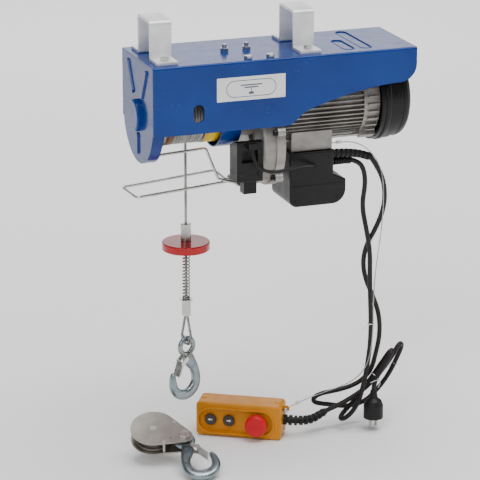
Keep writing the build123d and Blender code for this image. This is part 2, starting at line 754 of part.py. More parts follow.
with BuildPart() as control_box:
    with BuildSketch(facing(BOX_Y[1])) as box_face:
        with BuildLine():
            Polyline(*BOX_OUTLINE, close=True)
        make_face()
        fillet(box_face.vertices().group_by(Axis.Y)[0].sort_by(Axis.X)[-1], 26)
        fillet(box_face.vertices().group_by(Axis.Y)[0].sort_by(Axis.X)[0], 14)
    extrude(amount=BOX_Y[1] - BOX_Y[0])
    fillet(control_box.faces().sort_by(Axis.Y)[0].edges(), 3)
    with BuildSketch(level(BASE_LOW_Z)):
        with Locations(((BASE_X[0] + BASE_X[1]) / 2, (BOX_Y[0] + BOX_Y[1]) / 2)):
            Rectangle(BASE_X[1] - BASE_X[0] - 2 * BOX_WALL, BOX_Y[1] - BOX_Y[0] - 2 * BOX_WALL)
    extrude(amount=BOX_LOW_Z + BOX_WALL + 3 - BASE_LOW_Z, mode=Mode.SUBTRACT)
save(control_box, "control_box")

CAPACITOR_R = 20.0

with BuildPart() as capacitor:
    with BuildSketch(facing(BOX_Y[1] - BOX_WALL, 306, BOX_LOW_Z + BOX_WALL + 3 + CAPACITOR_R)):
        Circle(CAPACITOR_R)
    extrude(amount=70)
save(capacitor, "capacitor")

# Limit switch with the two levers

LEAD_ROUTE = [
    (180, -87, -56),
    (182, -90, -75),
    (191, -95, -90),
    (208, -98, -98),
    (232, -99, -98),
    (258, -95, -94),
    (282, -86, -95),
    (300, -74, -101),
    (309, -60, -107),
]

SWITCH_X = (155.0, CASE_X)
SWITCH_Y = (-80.0, -42.0)
SWITCH_CHEEK = [(-80, -46), (-66, -46), (-42, -57), (-42, -118), (-80, -118)]

with BuildPart() as limit_switch:
    with BuildSketch(across(SWITCH_X[0])):
        with BuildLine():
            Polyline(*SWITCH_CHEEK, close=True)
        make_face()
    extrude(amount=SWITCH_X[1] - SWITCH_X[0])
    fillet(limit_switch.edges().filter_by(Axis.X), 2)
    with BuildSketch(facing(SWITCH_Y[0], SWITCH_X[0])):
        with Locations((24, -72)):
            Rectangle(30, 22)
    extrude(amount=-10, mode=Mode.SUBTRACT)
    with BuildSketch(facing(SWITCH_Y[1], PIVOT_X, PIVOT_Z)):
        with Locations((4, 9)):
            Rectangle(24, 30)
    extrude(amount=20)
    with BuildSketch(facing(SWITCH_Y[1], PIVOT_X, PIVOT_Z)):
        Circle(PIVOT_PIN_R)
    extrude(amount=-76)
    with BuildSketch(facing(34, PIVOT_X, PIVOT_Z)):
        Circle(PIVOT_PIN_R + 2.5)
    extrude(amount=3)
    with BuildSketch(level(LEAD_ROUTE[0][2], *LEAD_ROUTE[0][:2])):
        Rectangle(16, 2 * (SWITCH_Y[0] - LEAD_ROUTE[0][1]))
    extrude(amount=10)
save(limit_switch, "limit_switch")


def lever(route, bend, hub_from, hub_to):
    """A bent wire with a hub that turns on the pivot pin, built into the part that is open."""
    with BuildLine() as wire:
        FilletPolyline(*[at(*point) for point in route], radius=bend)
    with BuildSketch(Plane(origin=wire.line @ 0, z_dir=wire.line % 0)) as section:
        Circle(WIRE_R)
    sweep(section.sketch, path=wire.line)
    with BuildSketch(facing(hub_to, PIVOT_X, PIVOT_Z)) as hub:
        Circle(HUB_R)
    extrude(hub.sketch, amount=hub_to - hub_from)
    with BuildSketch(facing(hub_to + 10, PIVOT_X, PIVOT_Z)) as bore:
        Circle(PIVOT_PIN_R + RUNNING_FIT)
    extrude(bore.sketch, amount=hub_to - hub_from + 20, mode=Mode.SUBTRACT)


LEVER_ROUTE = [
    (PIVOT_X - 3, 12, PIVOT_Z - 1),
    (0, 12, -154),
    (-4, 84, -154),
    (170, 84, PIVOT_Z),
    (170, 20, PIVOT_Z),
    (PIVOT_X - 3, 20, PIVOT_Z),
]

with BuildPart() as limit_lever:
    lever(
        LEVER_ROUTE,
        7,
        2,
        30,
    )
save(limit_lever, "limit_lever")

with BuildPart() as upper_lever:
    lever(
        [(22, -8, -75), (122, -8, -69.5), (145, -8, -128), (PIVOT_X - 3, -8, PIVOT_Z)],
        7,
        -14,
        0,
    )
save(upper_lever, "upper_lever")

# Hook line


def hanging(z):
    """Level plane on the axis of the hanging rope."""
    return level(z, ROPE_X, TURN_R)


with BuildPart() as hanging_rope:
    with BuildSketch(hanging(0)):
        Circle(ROPE_R)
    extrude(amount=FERRULE_TOP_Z - 4)
save(hanging_rope, "hanging_rope")

with BuildPart() as upper_ferrule:
    with BuildSketch(hanging(DISC_TOP_Z)):
        SlotOverall(19, 14)
    extrude(amount=FERRULE_TOP_Z - DISC_TOP_Z)
    chamfer(upper_ferrule.faces().sort_by(Axis.Z)[-1].edges(), 1)
    with BuildSketch(hanging(DISC_TOP_Z)):
        Circle(ROPE_R)
    extrude(amount=FERRULE_TOP_Z - DISC_TOP_Z, mode=Mode.SUBTRACT)
save(upper_ferrule, "upper_ferrule")

with BuildPart() as stop_disc:
    with BuildSketch(hanging(DISC_TOP_Z)):
        Circle(DISC_R)
        Circle(ROPE_R + 1, mode=Mode.SUBTRACT)
    extrude(amount=-DISC_THICK)
    fillet(stop_disc.edges().filter_by(GeomType.CIRCLE).group_by(SortBy.LENGTH)[-1], 2)
save(stop_disc, "stop_disc")

with BuildPart() as stop_spring:
    spring_high = DISC_TOP_Z - DISC_THICK - SPRING_LOW_Z
    with BuildLine(hanging(SPRING_LOW_Z + SPRING_WIRE_R + SEAT_FIT)) as coil:
        Helix((spring_high - 2 * SPRING_WIRE_R - 2 * SEAT_FIT) / SPRING_TURNS, spring_high
              - 2 * SPRING_WIRE_R - 2 * SEAT_FIT, SPRING_R)
    with BuildSketch(Plane(origin=coil.line @ 0, z_dir=coil.line % 0)):
        Circle(SPRING_WIRE_R)
    sweep(path=coil.line, is_frenet=True)
save(stop_spring, "stop_spring")

SLEEVE_TOP_Z = SPRING_LOW_Z - WASHER_THICK
SLEEVE_LOW_Z = SLEEVE_TOP_Z - SLEEVE_LONG
LEG_SPREAD = ROPE_R + 0.1


def eye_plane(z):
    """Upright plane of the rope eye, on the rope's axis."""
    turn = radians(HOOK_TURN)
    return Plane(origin=at(ROPE_X, TURN_R, z), x_dir=(sin(turn), -cos(turn), 0), z_dir=(-cos(turn), -sin(turn), 0))


with BuildPart() as lower_sleeve:
    with BuildSketch(hanging(SPRING_LOW_Z)):
        Circle(11.5)
    extrude(amount=-WASHER_THICK)
    with BuildSketch(hanging(SLEEVE_TOP_Z)):
        SlotOverall(18, 13, rotation=90 + HOOK_TURN)
    extrude(amount=-SLEEVE_LONG)
    sleeve_hole = LEG_SPREAD + ROPE_R
    with BuildSketch(hanging(SPRING_LOW_Z)):
        Circle(ROPE_R)
    extrude(amount=-WASHER_THICK - 2, mode=Mode.SUBTRACT)
    with BuildSketch(hanging(SLEEVE_TOP_Z - 2)):
        SlotOverall(2 * sleeve_hole, 2 * ROPE_R, rotation=90 + HOOK_TURN)
    extrude(amount=-SLEEVE_LONG, mode=Mode.SUBTRACT)
save(lower_sleeve, "lower_sleeve")

BAR_R = (HOOK_EYE_R - HOOK_HOLE_R) / 2
BAR_Z = HOOK_EYE_Z + HOOK_HOLE_R + BAR_R
THIMBLE_IN_R = 9.0
THIMBLE_GAP = 1.0
THIMBLE_WALL = 1.6
THIMBLE_Z = BAR_Z - BAR_R - THIMBLE_GAP + THIMBLE_IN_R
LOOP_R = THIMBLE_IN_R + THIMBLE_WALL + ROPE_R + 0.1


with BuildPart() as rope_eye:
    with BuildLine(eye_plane(THIMBLE_Z)) as loop:
        rise = SLEEVE_LOW_Z - THIMBLE_Z
        left_leg = FilletPolyline(
            (-LEG_SPREAD, rise + SLEEVE_LONG - 3),
            (-LEG_SPREAD, rise - 2),
            (-LOOP_R, 4),
            (-LOOP_R, -LOOP_R),
            (LOOP_R, -LOOP_R),
            (LOOP_R, 4),
            (LEG_SPREAD, rise - 2),
            (LEG_SPREAD, rise + SLEEVE_LONG - 3),
            radius=[8, 12, LOOP_R - 0.3, LOOP_R - 0.3, 12, 8],
        )
    with BuildSketch(Plane(origin=loop.line @ 0, z_dir=loop.line % 0)):
        Circle(ROPE_R)
    sweep(path=loop.line)
    with BuildSketch(hanging(SLEEVE_TOP_Z - 1)):
        Circle(ROPE_R)
    extrude(amount=FERRULE_TOP_Z - 4 - SLEEVE_TOP_Z + 1)
save(rope_eye, "rope_eye")

with BuildPart() as thimble:
    with BuildSketch(eye_plane(THIMBLE_Z)):
        Circle(THIMBLE_IN_R + THIMBLE_WALL)
        Circle(THIMBLE_IN_R, mode=Mode.SUBTRACT)
        with Locations((0, 3 * THIMBLE_IN_R / 2 + 1)):
            Rectangle(3 * THIMBLE_IN_R, 3 * THIMBLE_IN_R, mode=Mode.SUBTRACT)
    extrude(amount=ROPE_R, both=True)
save(thimble, "thimble")


def hook_outline():
    """Outline of an eye hook, eye at the origin, mouth towards its own +x."""
    ThreePointArc((14, -14.3), (0, HOOK_EYE_R), (-14, -14.3))
    Line((-14, -14.3), (-24, -40))
    Line((-24, -40), (-29.5, -62))
    ThreePointArc((-29.5, -62), (4.5, -103), (39, -68.5))
    Line((39, -68.5), (37, -50))
    ThreePointArc((37, -50), (32, -45), (27, -50))
    Line((27, -50), (25, -60))
    ThreePointArc((25, -60), (6.5, -83), (-12.3, -60))
    Line((-12.3, -60), (-7, -44))
    Line((-7, -44), (10, -28))
    Line((10, -28), (14, -14.3))


def hook_body(plane):
    """An eye hook in the given plane, whose origin is the middle of the eye."""
    with BuildPart() as body:
        with BuildSketch(plane) as outline:
            with BuildLine():
                hook_outline()
            make_face()
            fillet(outline.vertices(), 3)
            Circle(HOOK_HOLE_R, mode=Mode.SUBTRACT)
        extrude(amount=HOOK_THICK / 2, both=True)
        chamfer(body.faces().filter_by(plane).edges(), 2.5)
        for side in (EYE_THICK / 2, -HOOK_THICK / 2):
            with BuildSketch(plane.offset(side)):
                with Locations((0, 6)):
                    Rectangle(3 * HOOK_EYE_R, 30)
            extrude(amount=(HOOK_THICK - EYE_THICK) / 2, mode=Mode.SUBTRACT)
        with BuildSketch(plane):
            with Locations(LATCH_PIVOT):
                Circle(LATCH_PIN_R + RUNNING_FIT)
        extrude(amount=HOOK_THICK, both=True, mode=Mode.SUBTRACT)
    return body


def hook_plane(origin):
    turn = radians(HOOK_TURN)
    return Plane(origin=origin, x_dir=(-cos(turn), -sin(turn), 0), z_dir=(-sin(turn), cos(turn), 0))


LATCH_PIVOT = (6.0, -22.0)
LATCH_PIN_R = 2.0
LATCH_BEND = (14.0, -29.0)
LATCH_END = (23.6, -52.0)
LATCH_EAR = 1.5


def latch_link(start, end, width):
    """Straight rounded link between two points of the hook's plane."""
    run = (end[0] - start[0], end[1] - start[1])
    with Locations(((start[0] + end[0]) / 2, (start[1] + end[1]) / 2)):
        SlotCenterToCenter(hypot(*run), width, rotation=degrees(atan2(run[1], run[0])))


def latch_body(plane):
    """The latch that closes a hook's mouth: a tongue with two ears and the pin it swings on."""
    ear_from = HOOK_THICK / 2 + MOVING_GAP
    with BuildPart() as body:
        with BuildSketch(plane.offset(-ear_from - LATCH_EAR)):
            latch_link(LATCH_BEND, LATCH_END, 3)
        extrude(amount=2 * (ear_from + LATCH_EAR))
        for out in (ear_from, -ear_from - LATCH_EAR):
            with BuildSketch(plane.offset(out)):
                latch_link(LATCH_PIVOT, LATCH_BEND, 8)
            extrude(amount=LATCH_EAR)
        with BuildSketch(plane.offset(-ear_from)):
            with Locations(LATCH_PIVOT):
                Circle(LATCH_PIN_R)
        extrude(amount=2 * ear_from)
    return body


HOOK_PLANE = hook_plane(at(ROPE_X, TURN_R, HOOK_EYE_Z))
hook = hook_body(HOOK_PLANE)
save(hook, "hook")
hook_latch = latch_body(HOOK_PLANE)
save(hook_latch, "hook_latch")

# Snatch block: it lies on the ground and leans a little towards the front

VIEW_TURN = 19.8  # degrees, the way the block's long side is turned about z
BLOCK_LEAN = 23.5
HOOK_ANGLE = 23.6  # of the hook's own x in the block's plane
BLOCK_EYE = (75.9, -16.8, GROUND_Z + 44.6)
SIDE_ANGLE = -18.8  # from the bolt to the sheave, in the block's plane, turned by half a turn
PLATE_THICK = 3.0
PLATE_R = 42.0
PLATE_END_R = 15.0
PLATE_SPAN = 60.0
SHEAVE_R = 36.0
GROOVE_R = 29.0
SHEAVE_WIDE = 20.0
SHEAVE_SIDE_GAP = 1.0
BLOCK_GAP = SHEAVE_WIDE + 2 * SHEAVE_SIDE_GAP
BLOCK_BOLT_R = 6.0
AXLE_R = 6.0


def block_plane(turn, offset_out=0):
    """Plane of the block through its hook eye, turned in itself, moved out along its normal."""
    lean = radians(BLOCK_LEAN)
    view = radians(VIEW_TURN)
    side = Vector(cos(view), -sin(view), 0)
    back = Vector(sin(view), cos(view), 0)
    normal = Vector(0, 0, 1) * cos(lean) - back * sin(lean)
    rise = back * cos(lean) + Vector(0, 0, 1) * sin(lean)
    x_dir = side * cos(radians(turn)) + rise * sin(radians(turn))
    return Plane(origin=at(*BLOCK_EYE) + normal * offset_out, x_dir=x_dir, z_dir=normal)


with BuildPart() as block_plates:
    for out in (BLOCK_GAP / 2, -BLOCK_GAP / 2 - PLATE_THICK):
        with BuildSketch(block_plane(SIDE_ANGLE + 180, out)):
            Circle(PLATE_END_R)
            with Locations((PLATE_SPAN, 0)):
                Circle(PLATE_R)
            make_hull()
            Circle(BLOCK_BOLT_R, mode=Mode.SUBTRACT)
            with Locations((PLATE_SPAN, 0)):
                Circle(AXLE_R, mode=Mode.SUBTRACT)
            with Locations((30, 27), (30, -27)):
                Circle(3, mode=Mode.SUBTRACT)
        extrude(amount=PLATE_THICK)
save(block_plates, "block_plates")

with BuildPart() as block_pins:
    half = BLOCK_GAP / 2 + PLATE_THICK
    with BuildSketch(block_plane(SIDE_ANGLE + 180, -half)):
        with Locations((PLATE_SPAN, 0)):
            Circle(AXLE_R)
        with Locations((30, 27), (30, -27)):
            Circle(3)
    extrude(amount=2 * half)
    with BuildSketch(block_plane(SIDE_ANGLE + 180, -half - 7)):
        Circle(BLOCK_BOLT_R)
    extrude(amount=2 * half + 7)
    with BuildSketch(block_plane(SIDE_ANGLE + 180, -BLOCK_GAP / 2)):
        Circle(HOOK_HOLE_R - RUNNING_FIT)
    extrude(amount=BLOCK_GAP)
    with BuildSketch(block_plane(SIDE_ANGLE + 180, half)):
        RegularPolygon(BLOCK_BOLT_R + 4, 6)
    extrude(amount=5)
    with BuildSketch(block_plane(SIDE_ANGLE + 180, -half)):
        RegularPolygon(BLOCK_BOLT_R + 4, 6)
    extrude(amount=-5)
save(block_pins, "block_pins")

with BuildPart() as sheave:
    with BuildSketch(block_plane(SIDE_ANGLE + 180, -SHEAVE_WIDE / 2)):
        with Locations((PLATE_SPAN, 0)):
            Circle(SHEAVE_R)
            Circle(AXLE_R + RUNNING_FIT, mode=Mode.SUBTRACT)
    extrude(amount=SHEAVE_WIDE)
    with BuildSketch(block_plane(SIDE_ANGLE + 180, -SHEAVE_WIDE / 2 + 4)):
        with Locations((PLATE_SPAN, 0)):
            Circle(SHEAVE_R + 1)
            Circle(GROOVE_R, mode=Mode.SUBTRACT)
    extrude(amount=SHEAVE_WIDE - 8, mode=Mode.SUBTRACT)
save(sheave, "sheave")

BLOCK_HOOK_PLANE = block_plane(HOOK_ANGLE)
block_hook = hook_body(BLOCK_HOOK_PLANE)
save(block_hook, "block_hook")
block_latch = latch_body(BLOCK_HOOK_PLANE)
save(block_latch, "block_latch")


# Pendant: it stands on its long side, its buttons towards the front

PENDANT_CORNER = (142.0, 112.0, GROUND_Z)
PENDANT_TURN = -31.6
PENDANT_LONG = 162.0
PENDANT_HIGH = 66.0
FRONT_DEEP = 22.0
BACK_DEEP = 30.0
SHELL_WALL = 3.0
BUTTON_Z = 31.0
BUTTON_ALONG = (27.0, 62.0)
STOP_ALONG = 117.0
BUTTON_R = 10.5
BUTTON_OUT = 3.0
STOP_STEM_R = 8.0
STOP_NECK_R = 5.0
STOP_HEAD_R = 20.5
RECESS = 5.0


def pendant_plane(out=0.0, along=0.0, high=0.0):
    """Plane of the pendant's face, its own x along the pendant, its own y up."""
    turn = radians(PENDANT_TURN)
    x_dir = Vector(cos(turn), sin(turn), 0)
    normal = Vector(sin(turn), -cos(turn), 0)
    return Plane(
        origin=at(*PENDANT_CORNER) + x_dir * along + normal * out + Vector(0, 0, high), x_dir=x_dir, z_dir=normal
    )


def pendant_outline(inset):
    """Rounded outline of the shells, drawn in from the outside by inset."""
    with Locations((PENDANT_LONG / 2, PENDANT_HIGH / 2)):
        RectangleRounded(PENDANT_LONG - 2 * inset, PENDANT_HIGH - 2 * inset, 8 - inset)


with BuildPart() as pendant_back:
    with BuildSketch(pendant_plane(-FRONT_DEEP - BACK_DEEP)):
        pendant_outline(0)
    extrude(amount=BACK_DEEP - SEAT_FIT)
    fillet(pendant_back.faces().filter_by(pendant_plane()).sort_by(Axis.Y)[-1].edges(), 5)
    with BuildSketch(pendant_plane(-FRONT_DEEP - BACK_DEEP + SHELL_WALL)):
        pendant_outline(SHELL_WALL)
    extrude(amount=BACK_DEEP, mode=Mode.SUBTRACT)
    with BuildSketch(pendant_plane(-FRONT_DEEP - 8)):
        with Locations((PENDANT_LONG + 2, PENDANT_HIGH - 12)):
            SlotOverall(18, 12)
        with Locations((PENDANT_LONG + 5, PENDANT_HIGH - 12)):
            Circle(3, mode=Mode.SUBTRACT)
    extrude(amount=4)
    with BuildSketch(pendant_plane(-FRONT_DEEP - BACK_DEEP + SHELL_WALL)):
        pendant_outline(SHELL_WALL)
    extrude(amount=BACK_DEEP - SHELL_WALL, mode=Mode.SUBTRACT)
save(pendant_back, "pendant_back")

with BuildPart() as pendant_front:
    with BuildSketch(pendant_plane(-FRONT_DEEP)):
        pendant_outline(0)
    extrude(amount=FRONT_DEEP)
    fillet(pendant_front.faces().filter_by(pendant_plane()).sort_by(Axis.Y)[0].edges(), 3)
    with BuildSketch(pendant_plane(-1)):
        with Locations((PENDANT_LONG / 2 - 5, BUTTON_Z)):
            SlotOverall(PENDANT_LONG - 14, 52)
    extrude(amount=4)
    with BuildSketch(pendant_plane(-RECESS)):
        with Locations((PENDANT_LONG / 2 - 5, BUTTON_Z)):
            SlotOverall(PENDANT_LONG - 20, 46)
    extrude(amount=20, mode=Mode.SUBTRACT)
    with BuildSketch(pendant_plane(-FRONT_DEEP)):
        pendant_outline(SHELL_WALL)
    extrude(amount=FRONT_DEEP - RECESS - SHELL_WALL, mode=Mode.SUBTRACT)
    with BuildSketch(pendant_plane(-FRONT_DEEP)):
        with Locations(*[(x, BUTTON_Z) for x in BUTTON_ALONG]):
            Circle(BUTTON_R + MOVING_GAP)
        with Locations((STOP_ALONG, BUTTON_Z)):
            Circle(STOP_STEM_R + MOVING_GAP)
    extrude(amount=FRONT_DEEP + 10, mode=Mode.SUBTRACT)
save(pendant_front, "pendant_front")


def button_body(along):
    """A round push button with a collar inside the shell."""
    with BuildPart() as body:
        with BuildSketch(pendant_plane(-FRONT_DEEP + 4)):
            with Locations((along, BUTTON_Z)):
                Circle(BUTTON_R)
        extrude(amount=FRONT_DEEP - 4 - RECESS + BUTTON_OUT)
        with BuildSketch(pendant_plane(-FRONT_DEEP + 4)):
            with Locations((along, BUTTON_Z)):
                Circle(BUTTON_R + 2)
        extrude(amount=FRONT_DEEP - 4 - RECESS - SHELL_WALL - MOVING_GAP)
    return body


button_up = button_body(BUTTON_ALONG[0])
save(button_up, "button_up")
button_down = button_body(BUTTON_ALONG[1])
save(button_down, "button_down")

STOP_OUT = 7.5

with BuildPart() as stop_button_stem:
    with BuildSketch(pendant_plane(-FRONT_DEEP + 2)):
        with Locations((STOP_ALONG, BUTTON_Z)):
            Circle(STOP_STEM_R)
    extrude(amount=FRONT_DEEP - 2 + STOP_OUT - MOVING_GAP)
    with BuildSketch(pendant_plane(-FRONT_DEEP + 2)):
        with Locations((STOP_ALONG, BUTTON_Z)):
            Circle(STOP_STEM_R + 2)
    extrude(amount=FRONT_DEEP - 2 - RECESS - SHELL_WALL - MOVING_GAP)
    with BuildSketch(pendant_plane(STOP_OUT - 1)):
        with Locations((STOP_ALONG, BUTTON_Z)):
            Circle(STOP_NECK_R)
    extrude(amount=9)
save(stop_button_stem, "stop_button_stem")

with BuildPart() as stop_button_head:
    with BuildSketch(pendant_plane(STOP_OUT)):
        with Locations((STOP_ALONG, BUTTON_Z)):
            Circle(STOP_HEAD_R)
    extrude(amount=14)
    fillet(stop_button_head.faces().filter_by(pendant_plane()).sort_by(Axis.Y)[0].edges(), 5)
    with BuildSketch(pendant_plane(STOP_OUT)):
        with Locations((STOP_ALONG, BUTTON_Z)):
            Circle(STOP_NECK_R + RUNNING_FIT)
    extrude(amount=8 + MOVING_GAP, mode=Mode.SUBTRACT)
save(stop_button_head, "stop_button_head")

# Cords

UPPER_GLAND_ROUTE = [(345.3, -46, -90), (373, -46, -91), (400, -43, -96), (424, -40, -105)]
LOWER_GLAND_ROUTE = [(345.3, -32, -108), (360, -31, -108.5), (376, -29, -109), (391, -26, -111)]
PENDANT_GLAND_ROUTE = [(294.8, 48.8, -627), (315, 36.5, -628), (344, 35, -629), (376, 44, -619)]

PENDANT_CABLE_ROUTE = [
    (424, -40, -105),
    (441, -37, -128),
    (456, -32, -162),
    (460, -24, -205),
    (452, -9, -248),
    (440, 10, -286),
    (437, 20, -323),
    (445, 25, -359),
    (461, 27, -393),
    (475, 27, -432),
    (478, 29, -476),
    (470, 33, -522),
    (467, 45, -556),
]
MAINS_CABLE_ROUTE = [
    (391, -26, -111),
    (408, -24, -117),
    (420, -20, -134),
    (425, -16, -162),
    (421, -10, -205),
    (432, -6, -250),
    (443, 0, -296),
    (445, 4, -342),
    (449, 10, -388),
    (454, 16, -440),
    (455, 22, -490),
    (452, 30, -528),
    (455, 46, -560),
]
CABLE_END_ROUTE = [(448, 41, -587), (425, 41, -599), (401, 42, -610), (376, 44, -619)]
SAFETY_WIRE_ROUTE = [
    (345.4, -49, -70),
    (370, -50, -69),
    (395, -51, -74),
    (418, -50, -90),
    (436, -48, -114),
    (447, -46, -145),
    (450, -43, -188),
    (450, -37, -240),
    (447, -29, -290),
    (446, -18, -340),
    (448, -8, -390),
    (452, 0, -440),
    (452, 6, -490),
    (443, 11, -532),
    (415, 17, -558),
    (372, 28, -573),
    (334, 40, -588),
    (307, 49, -603),
]


def bend_radii(route):
    """The largest arc that the two runs at each inner point leave room for."""
    radii = []
    for before, here, after in zip(route, route[1:], route[2:]):
        first = Vector(*here) - Vector(*before)
        second = Vector(*after) - Vector(*here)
        turn = radians(first.get_angle(second))
        radii.append(0.45 * min(first.length, second.length) / tan(turn / 2))
    return radii


def cord_body(route, radius):
    """A round cord of straight runs joined by tangent arcs."""
    radii = bend_radii(route)
    with BuildPart() as body:
        with BuildLine():
            path = FilletPolyline(*[at(*point) for point in route], radius=radii)
        with BuildSketch(Plane(origin=path @ 0, z_dir=path % 0)):
            Circle(radius)
        sweep(path=path)
    swept = pi * radius**2 * path.length
    print(f"cord {path.length:.0f} long, volume {body.part.volume / swept:.4f} of its sweep, radii", end=" ")
    print([round(r) for r in radii])
    return body


def bellows_body(route, start_r, end_r, rings):
    """A rubber bend relief: a bent sleeve with rings along it."""
    with BuildPart() as body:
        with BuildLine():
            path = FilletPolyline(*[at(*point) for point in route], radius=bend_radii(route))
        with BuildSketch(Plane(origin=path @ 0, z_dir=path % 0)):
            Circle(end_r)
        sweep(path=path)
        for step in range(rings):
            share = step / rings
            with BuildSketch(Plane(origin=path @ share, z_dir=path % share)):
                Circle(start_r + (end_r + 1.2 - start_r) * share)
            extrude(amount=path.length / rings * 0.55)
    return body


RELIEF_R = CABLE_R + 1.5

with BuildPart() as cable_glands:
    for route in (UPPER_GLAND_ROUTE, LOWER_GLAND_ROUTE):
        add(bellows_body(route, 8, RELIEF_R, 9).part)
save(cable_glands, "cable_glands")

pendant_bellows = bellows_body(PENDANT_GLAND_ROUTE, 10, RELIEF_R, 9)
save(pendant_bellows, "pendant_bellows")

CORDS = {
    "pendant_cable": (PENDANT_CABLE_ROUTE, CABLE_R),
    "pendant_cable_end": (CABLE_END_ROUTE, CABLE_R),
    "mains_cable": (MAINS_CABLE_ROUTE, CABLE_R),
    "limit_lead": (LEAD_ROUTE, LEAD_R),
    "safety_wire": (SAFETY_WIRE_ROUTE, SAFETY_WIRE_R),
}
for cord_name, (cord_route, cord_r) in CORDS.items():
    save(cord_body(cord_route, cord_r), cord_name)

HANK_Y = (46.0, 82.0)
HANK_OUTLINE = [
    (498, -500),
    (536, -498),
    (536, -545),
    (508, -590),
    (462, -606),
    (415, -636),
    (366, -606),
    (366, -586),
    (440, -574),
    (456, -555),
]
PLUG_AXIS = (466.0, 26.0)
PLUG_TOP_Z = -583.0
PLUG_FACE_Z = -637.0
PIN_R = 2.4
PIN_LONG = 19.0
PIN_SPREAD = 19.0
PIN_ROOT_R = PIN_R + 0.8
PIN_ROOT_LONG = 12.0
PLUG_TURN = 36.0

with BuildPart() as cable_hank:
    with BuildSketch(facing(HANK_Y[1])) as hank_face:
        with BuildLine():
            Polyline(*HANK_OUTLINE, close=True)
        make_face()
        fillet(hank_face.vertices(), 8)
    extrude(amount=HANK_Y[1] - HANK_Y[0])
    fillet(cable_hank.faces().filter_by(Axis.Y).edges(), 6)
    with BuildSketch(level(PLUG_TOP_Z, *PLUG_AXIS)):
        with Locations((2, 14)):
            RectangleRounded(24, 44, 8)
    extrude(amount=22)
save(cable_hank, "cable_hank")

with BuildPart() as plug_body:
    with BuildSketch(facing(PLUG_AXIS[1], PLUG_AXIS[0])):
        with BuildLine():
            Polyline(
                (0, PLUG_TOP_Z),
                (6, PLUG_TOP_Z),
                (8, -597),
                (15, -603),
                (18.5, -612),
                (18.5, PLUG_FACE_Z),
                (0, PLUG_FACE_Z),
                close=True,
            )
        make_face()
    revolve(axis=Axis(at(*PLUG_AXIS, 0), (0, 0, 1)))
    with BuildSketch(level(PLUG_FACE_Z, *PLUG_AXIS)):
        with PolarLocations(PIN_SPREAD / 2, 2, start_angle=PLUG_TURN):
            Circle(PIN_ROOT_R)
    extrude(amount=PIN_ROOT_LONG, mode=Mode.SUBTRACT)
save(plug_body, "plug_body")

with BuildPart() as plug_pins:
    with BuildSketch(level(PLUG_FACE_Z - PIN_LONG, *PLUG_AXIS)):
        with PolarLocations(PIN_SPREAD / 2, 2, start_angle=PLUG_TURN):
            Circle(PIN_R)
    extrude(amount=PIN_LONG)
    with BuildSketch(level(PLUG_FACE_Z, *PLUG_AXIS)):
        with PolarLocations(PIN_SPREAD / 2, 2, start_angle=PLUG_TURN):
            Circle(PIN_ROOT_R)
    extrude(amount=PIN_ROOT_LONG)
save(plug_pins, "plug_pins")


def cuff(route, index, inner, outer, long):
    """A short tube round the straight run that starts at one point of a route."""
    start, end = at(*route[index]), at(*route[index + 1])
    run = end - start
    middle = start + run * 0.5 - run.normalized() * (long / 2)
    with BuildSketch(Plane(origin=middle, z_dir=run)) as section:
        Circle(outer)
        Circle(inner, mode=Mode.SUBTRACT)
    extrude(section.sketch, amount=long)


with BuildPart() as cable_tie:
    cuff(MAINS_CABLE_ROUTE, 8, CABLE_R + SEAT_FIT, CABLE_R + 1.5, 4)
save(cable_tie, "cable_tie")

with BuildPart() as wire_crimps:
    for index in (0, len(SAFETY_WIRE_ROUTE) - 2):
        cuff(SAFETY_WIRE_ROUTE, index, SAFETY_WIRE_R + SEAT_FIT, SAFETY_WIRE_R + 1.8, 9)
save(wire_crimps, "wire_crimps")
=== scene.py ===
"""Looks of an electric wire rope hoist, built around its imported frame. Lengths in the route and detail
tables are millimetres in the hoist's own sense: x from the outside of the left end cap, y from the drum
axis to the back, z from the drum axis upwards. at() turns them into metres of the frame."""

import json
import math

import bmesh
import bpy
from mathutils import Matrix, Vector


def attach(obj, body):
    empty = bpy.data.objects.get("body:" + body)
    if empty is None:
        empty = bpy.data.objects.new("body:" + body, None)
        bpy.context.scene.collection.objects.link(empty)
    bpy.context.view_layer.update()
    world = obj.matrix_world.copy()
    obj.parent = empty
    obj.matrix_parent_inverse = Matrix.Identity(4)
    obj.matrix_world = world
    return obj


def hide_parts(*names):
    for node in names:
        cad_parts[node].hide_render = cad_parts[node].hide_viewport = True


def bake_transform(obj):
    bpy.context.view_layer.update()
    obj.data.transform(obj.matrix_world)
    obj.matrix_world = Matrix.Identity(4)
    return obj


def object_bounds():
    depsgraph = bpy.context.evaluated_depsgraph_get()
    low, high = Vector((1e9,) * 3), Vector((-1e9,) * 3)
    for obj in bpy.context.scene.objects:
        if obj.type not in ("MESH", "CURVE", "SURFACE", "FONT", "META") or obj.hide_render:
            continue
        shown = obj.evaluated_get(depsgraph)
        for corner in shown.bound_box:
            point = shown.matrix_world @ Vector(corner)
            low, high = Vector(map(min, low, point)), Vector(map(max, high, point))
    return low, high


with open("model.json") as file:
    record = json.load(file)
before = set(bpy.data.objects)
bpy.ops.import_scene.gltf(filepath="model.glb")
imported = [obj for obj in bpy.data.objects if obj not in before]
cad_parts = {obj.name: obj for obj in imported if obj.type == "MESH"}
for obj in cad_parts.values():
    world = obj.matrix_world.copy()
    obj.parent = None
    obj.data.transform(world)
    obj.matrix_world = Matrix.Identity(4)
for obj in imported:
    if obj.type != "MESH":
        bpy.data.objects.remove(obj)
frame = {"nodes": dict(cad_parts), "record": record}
CAD_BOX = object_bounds()

MM = 0.001
CAP_X = -163.4
AXIS_Z = -147.0
GROUND_Z = -660.0


def at(x, y, z):
    """A point of the hoist in metres of the frame."""
    return Vector((CAP_X + x, y, AXIS_Z + z)) * MM


def along(x, y, z):
    """A direction, of length one."""
    return Vector((x, y, z)).normalized()


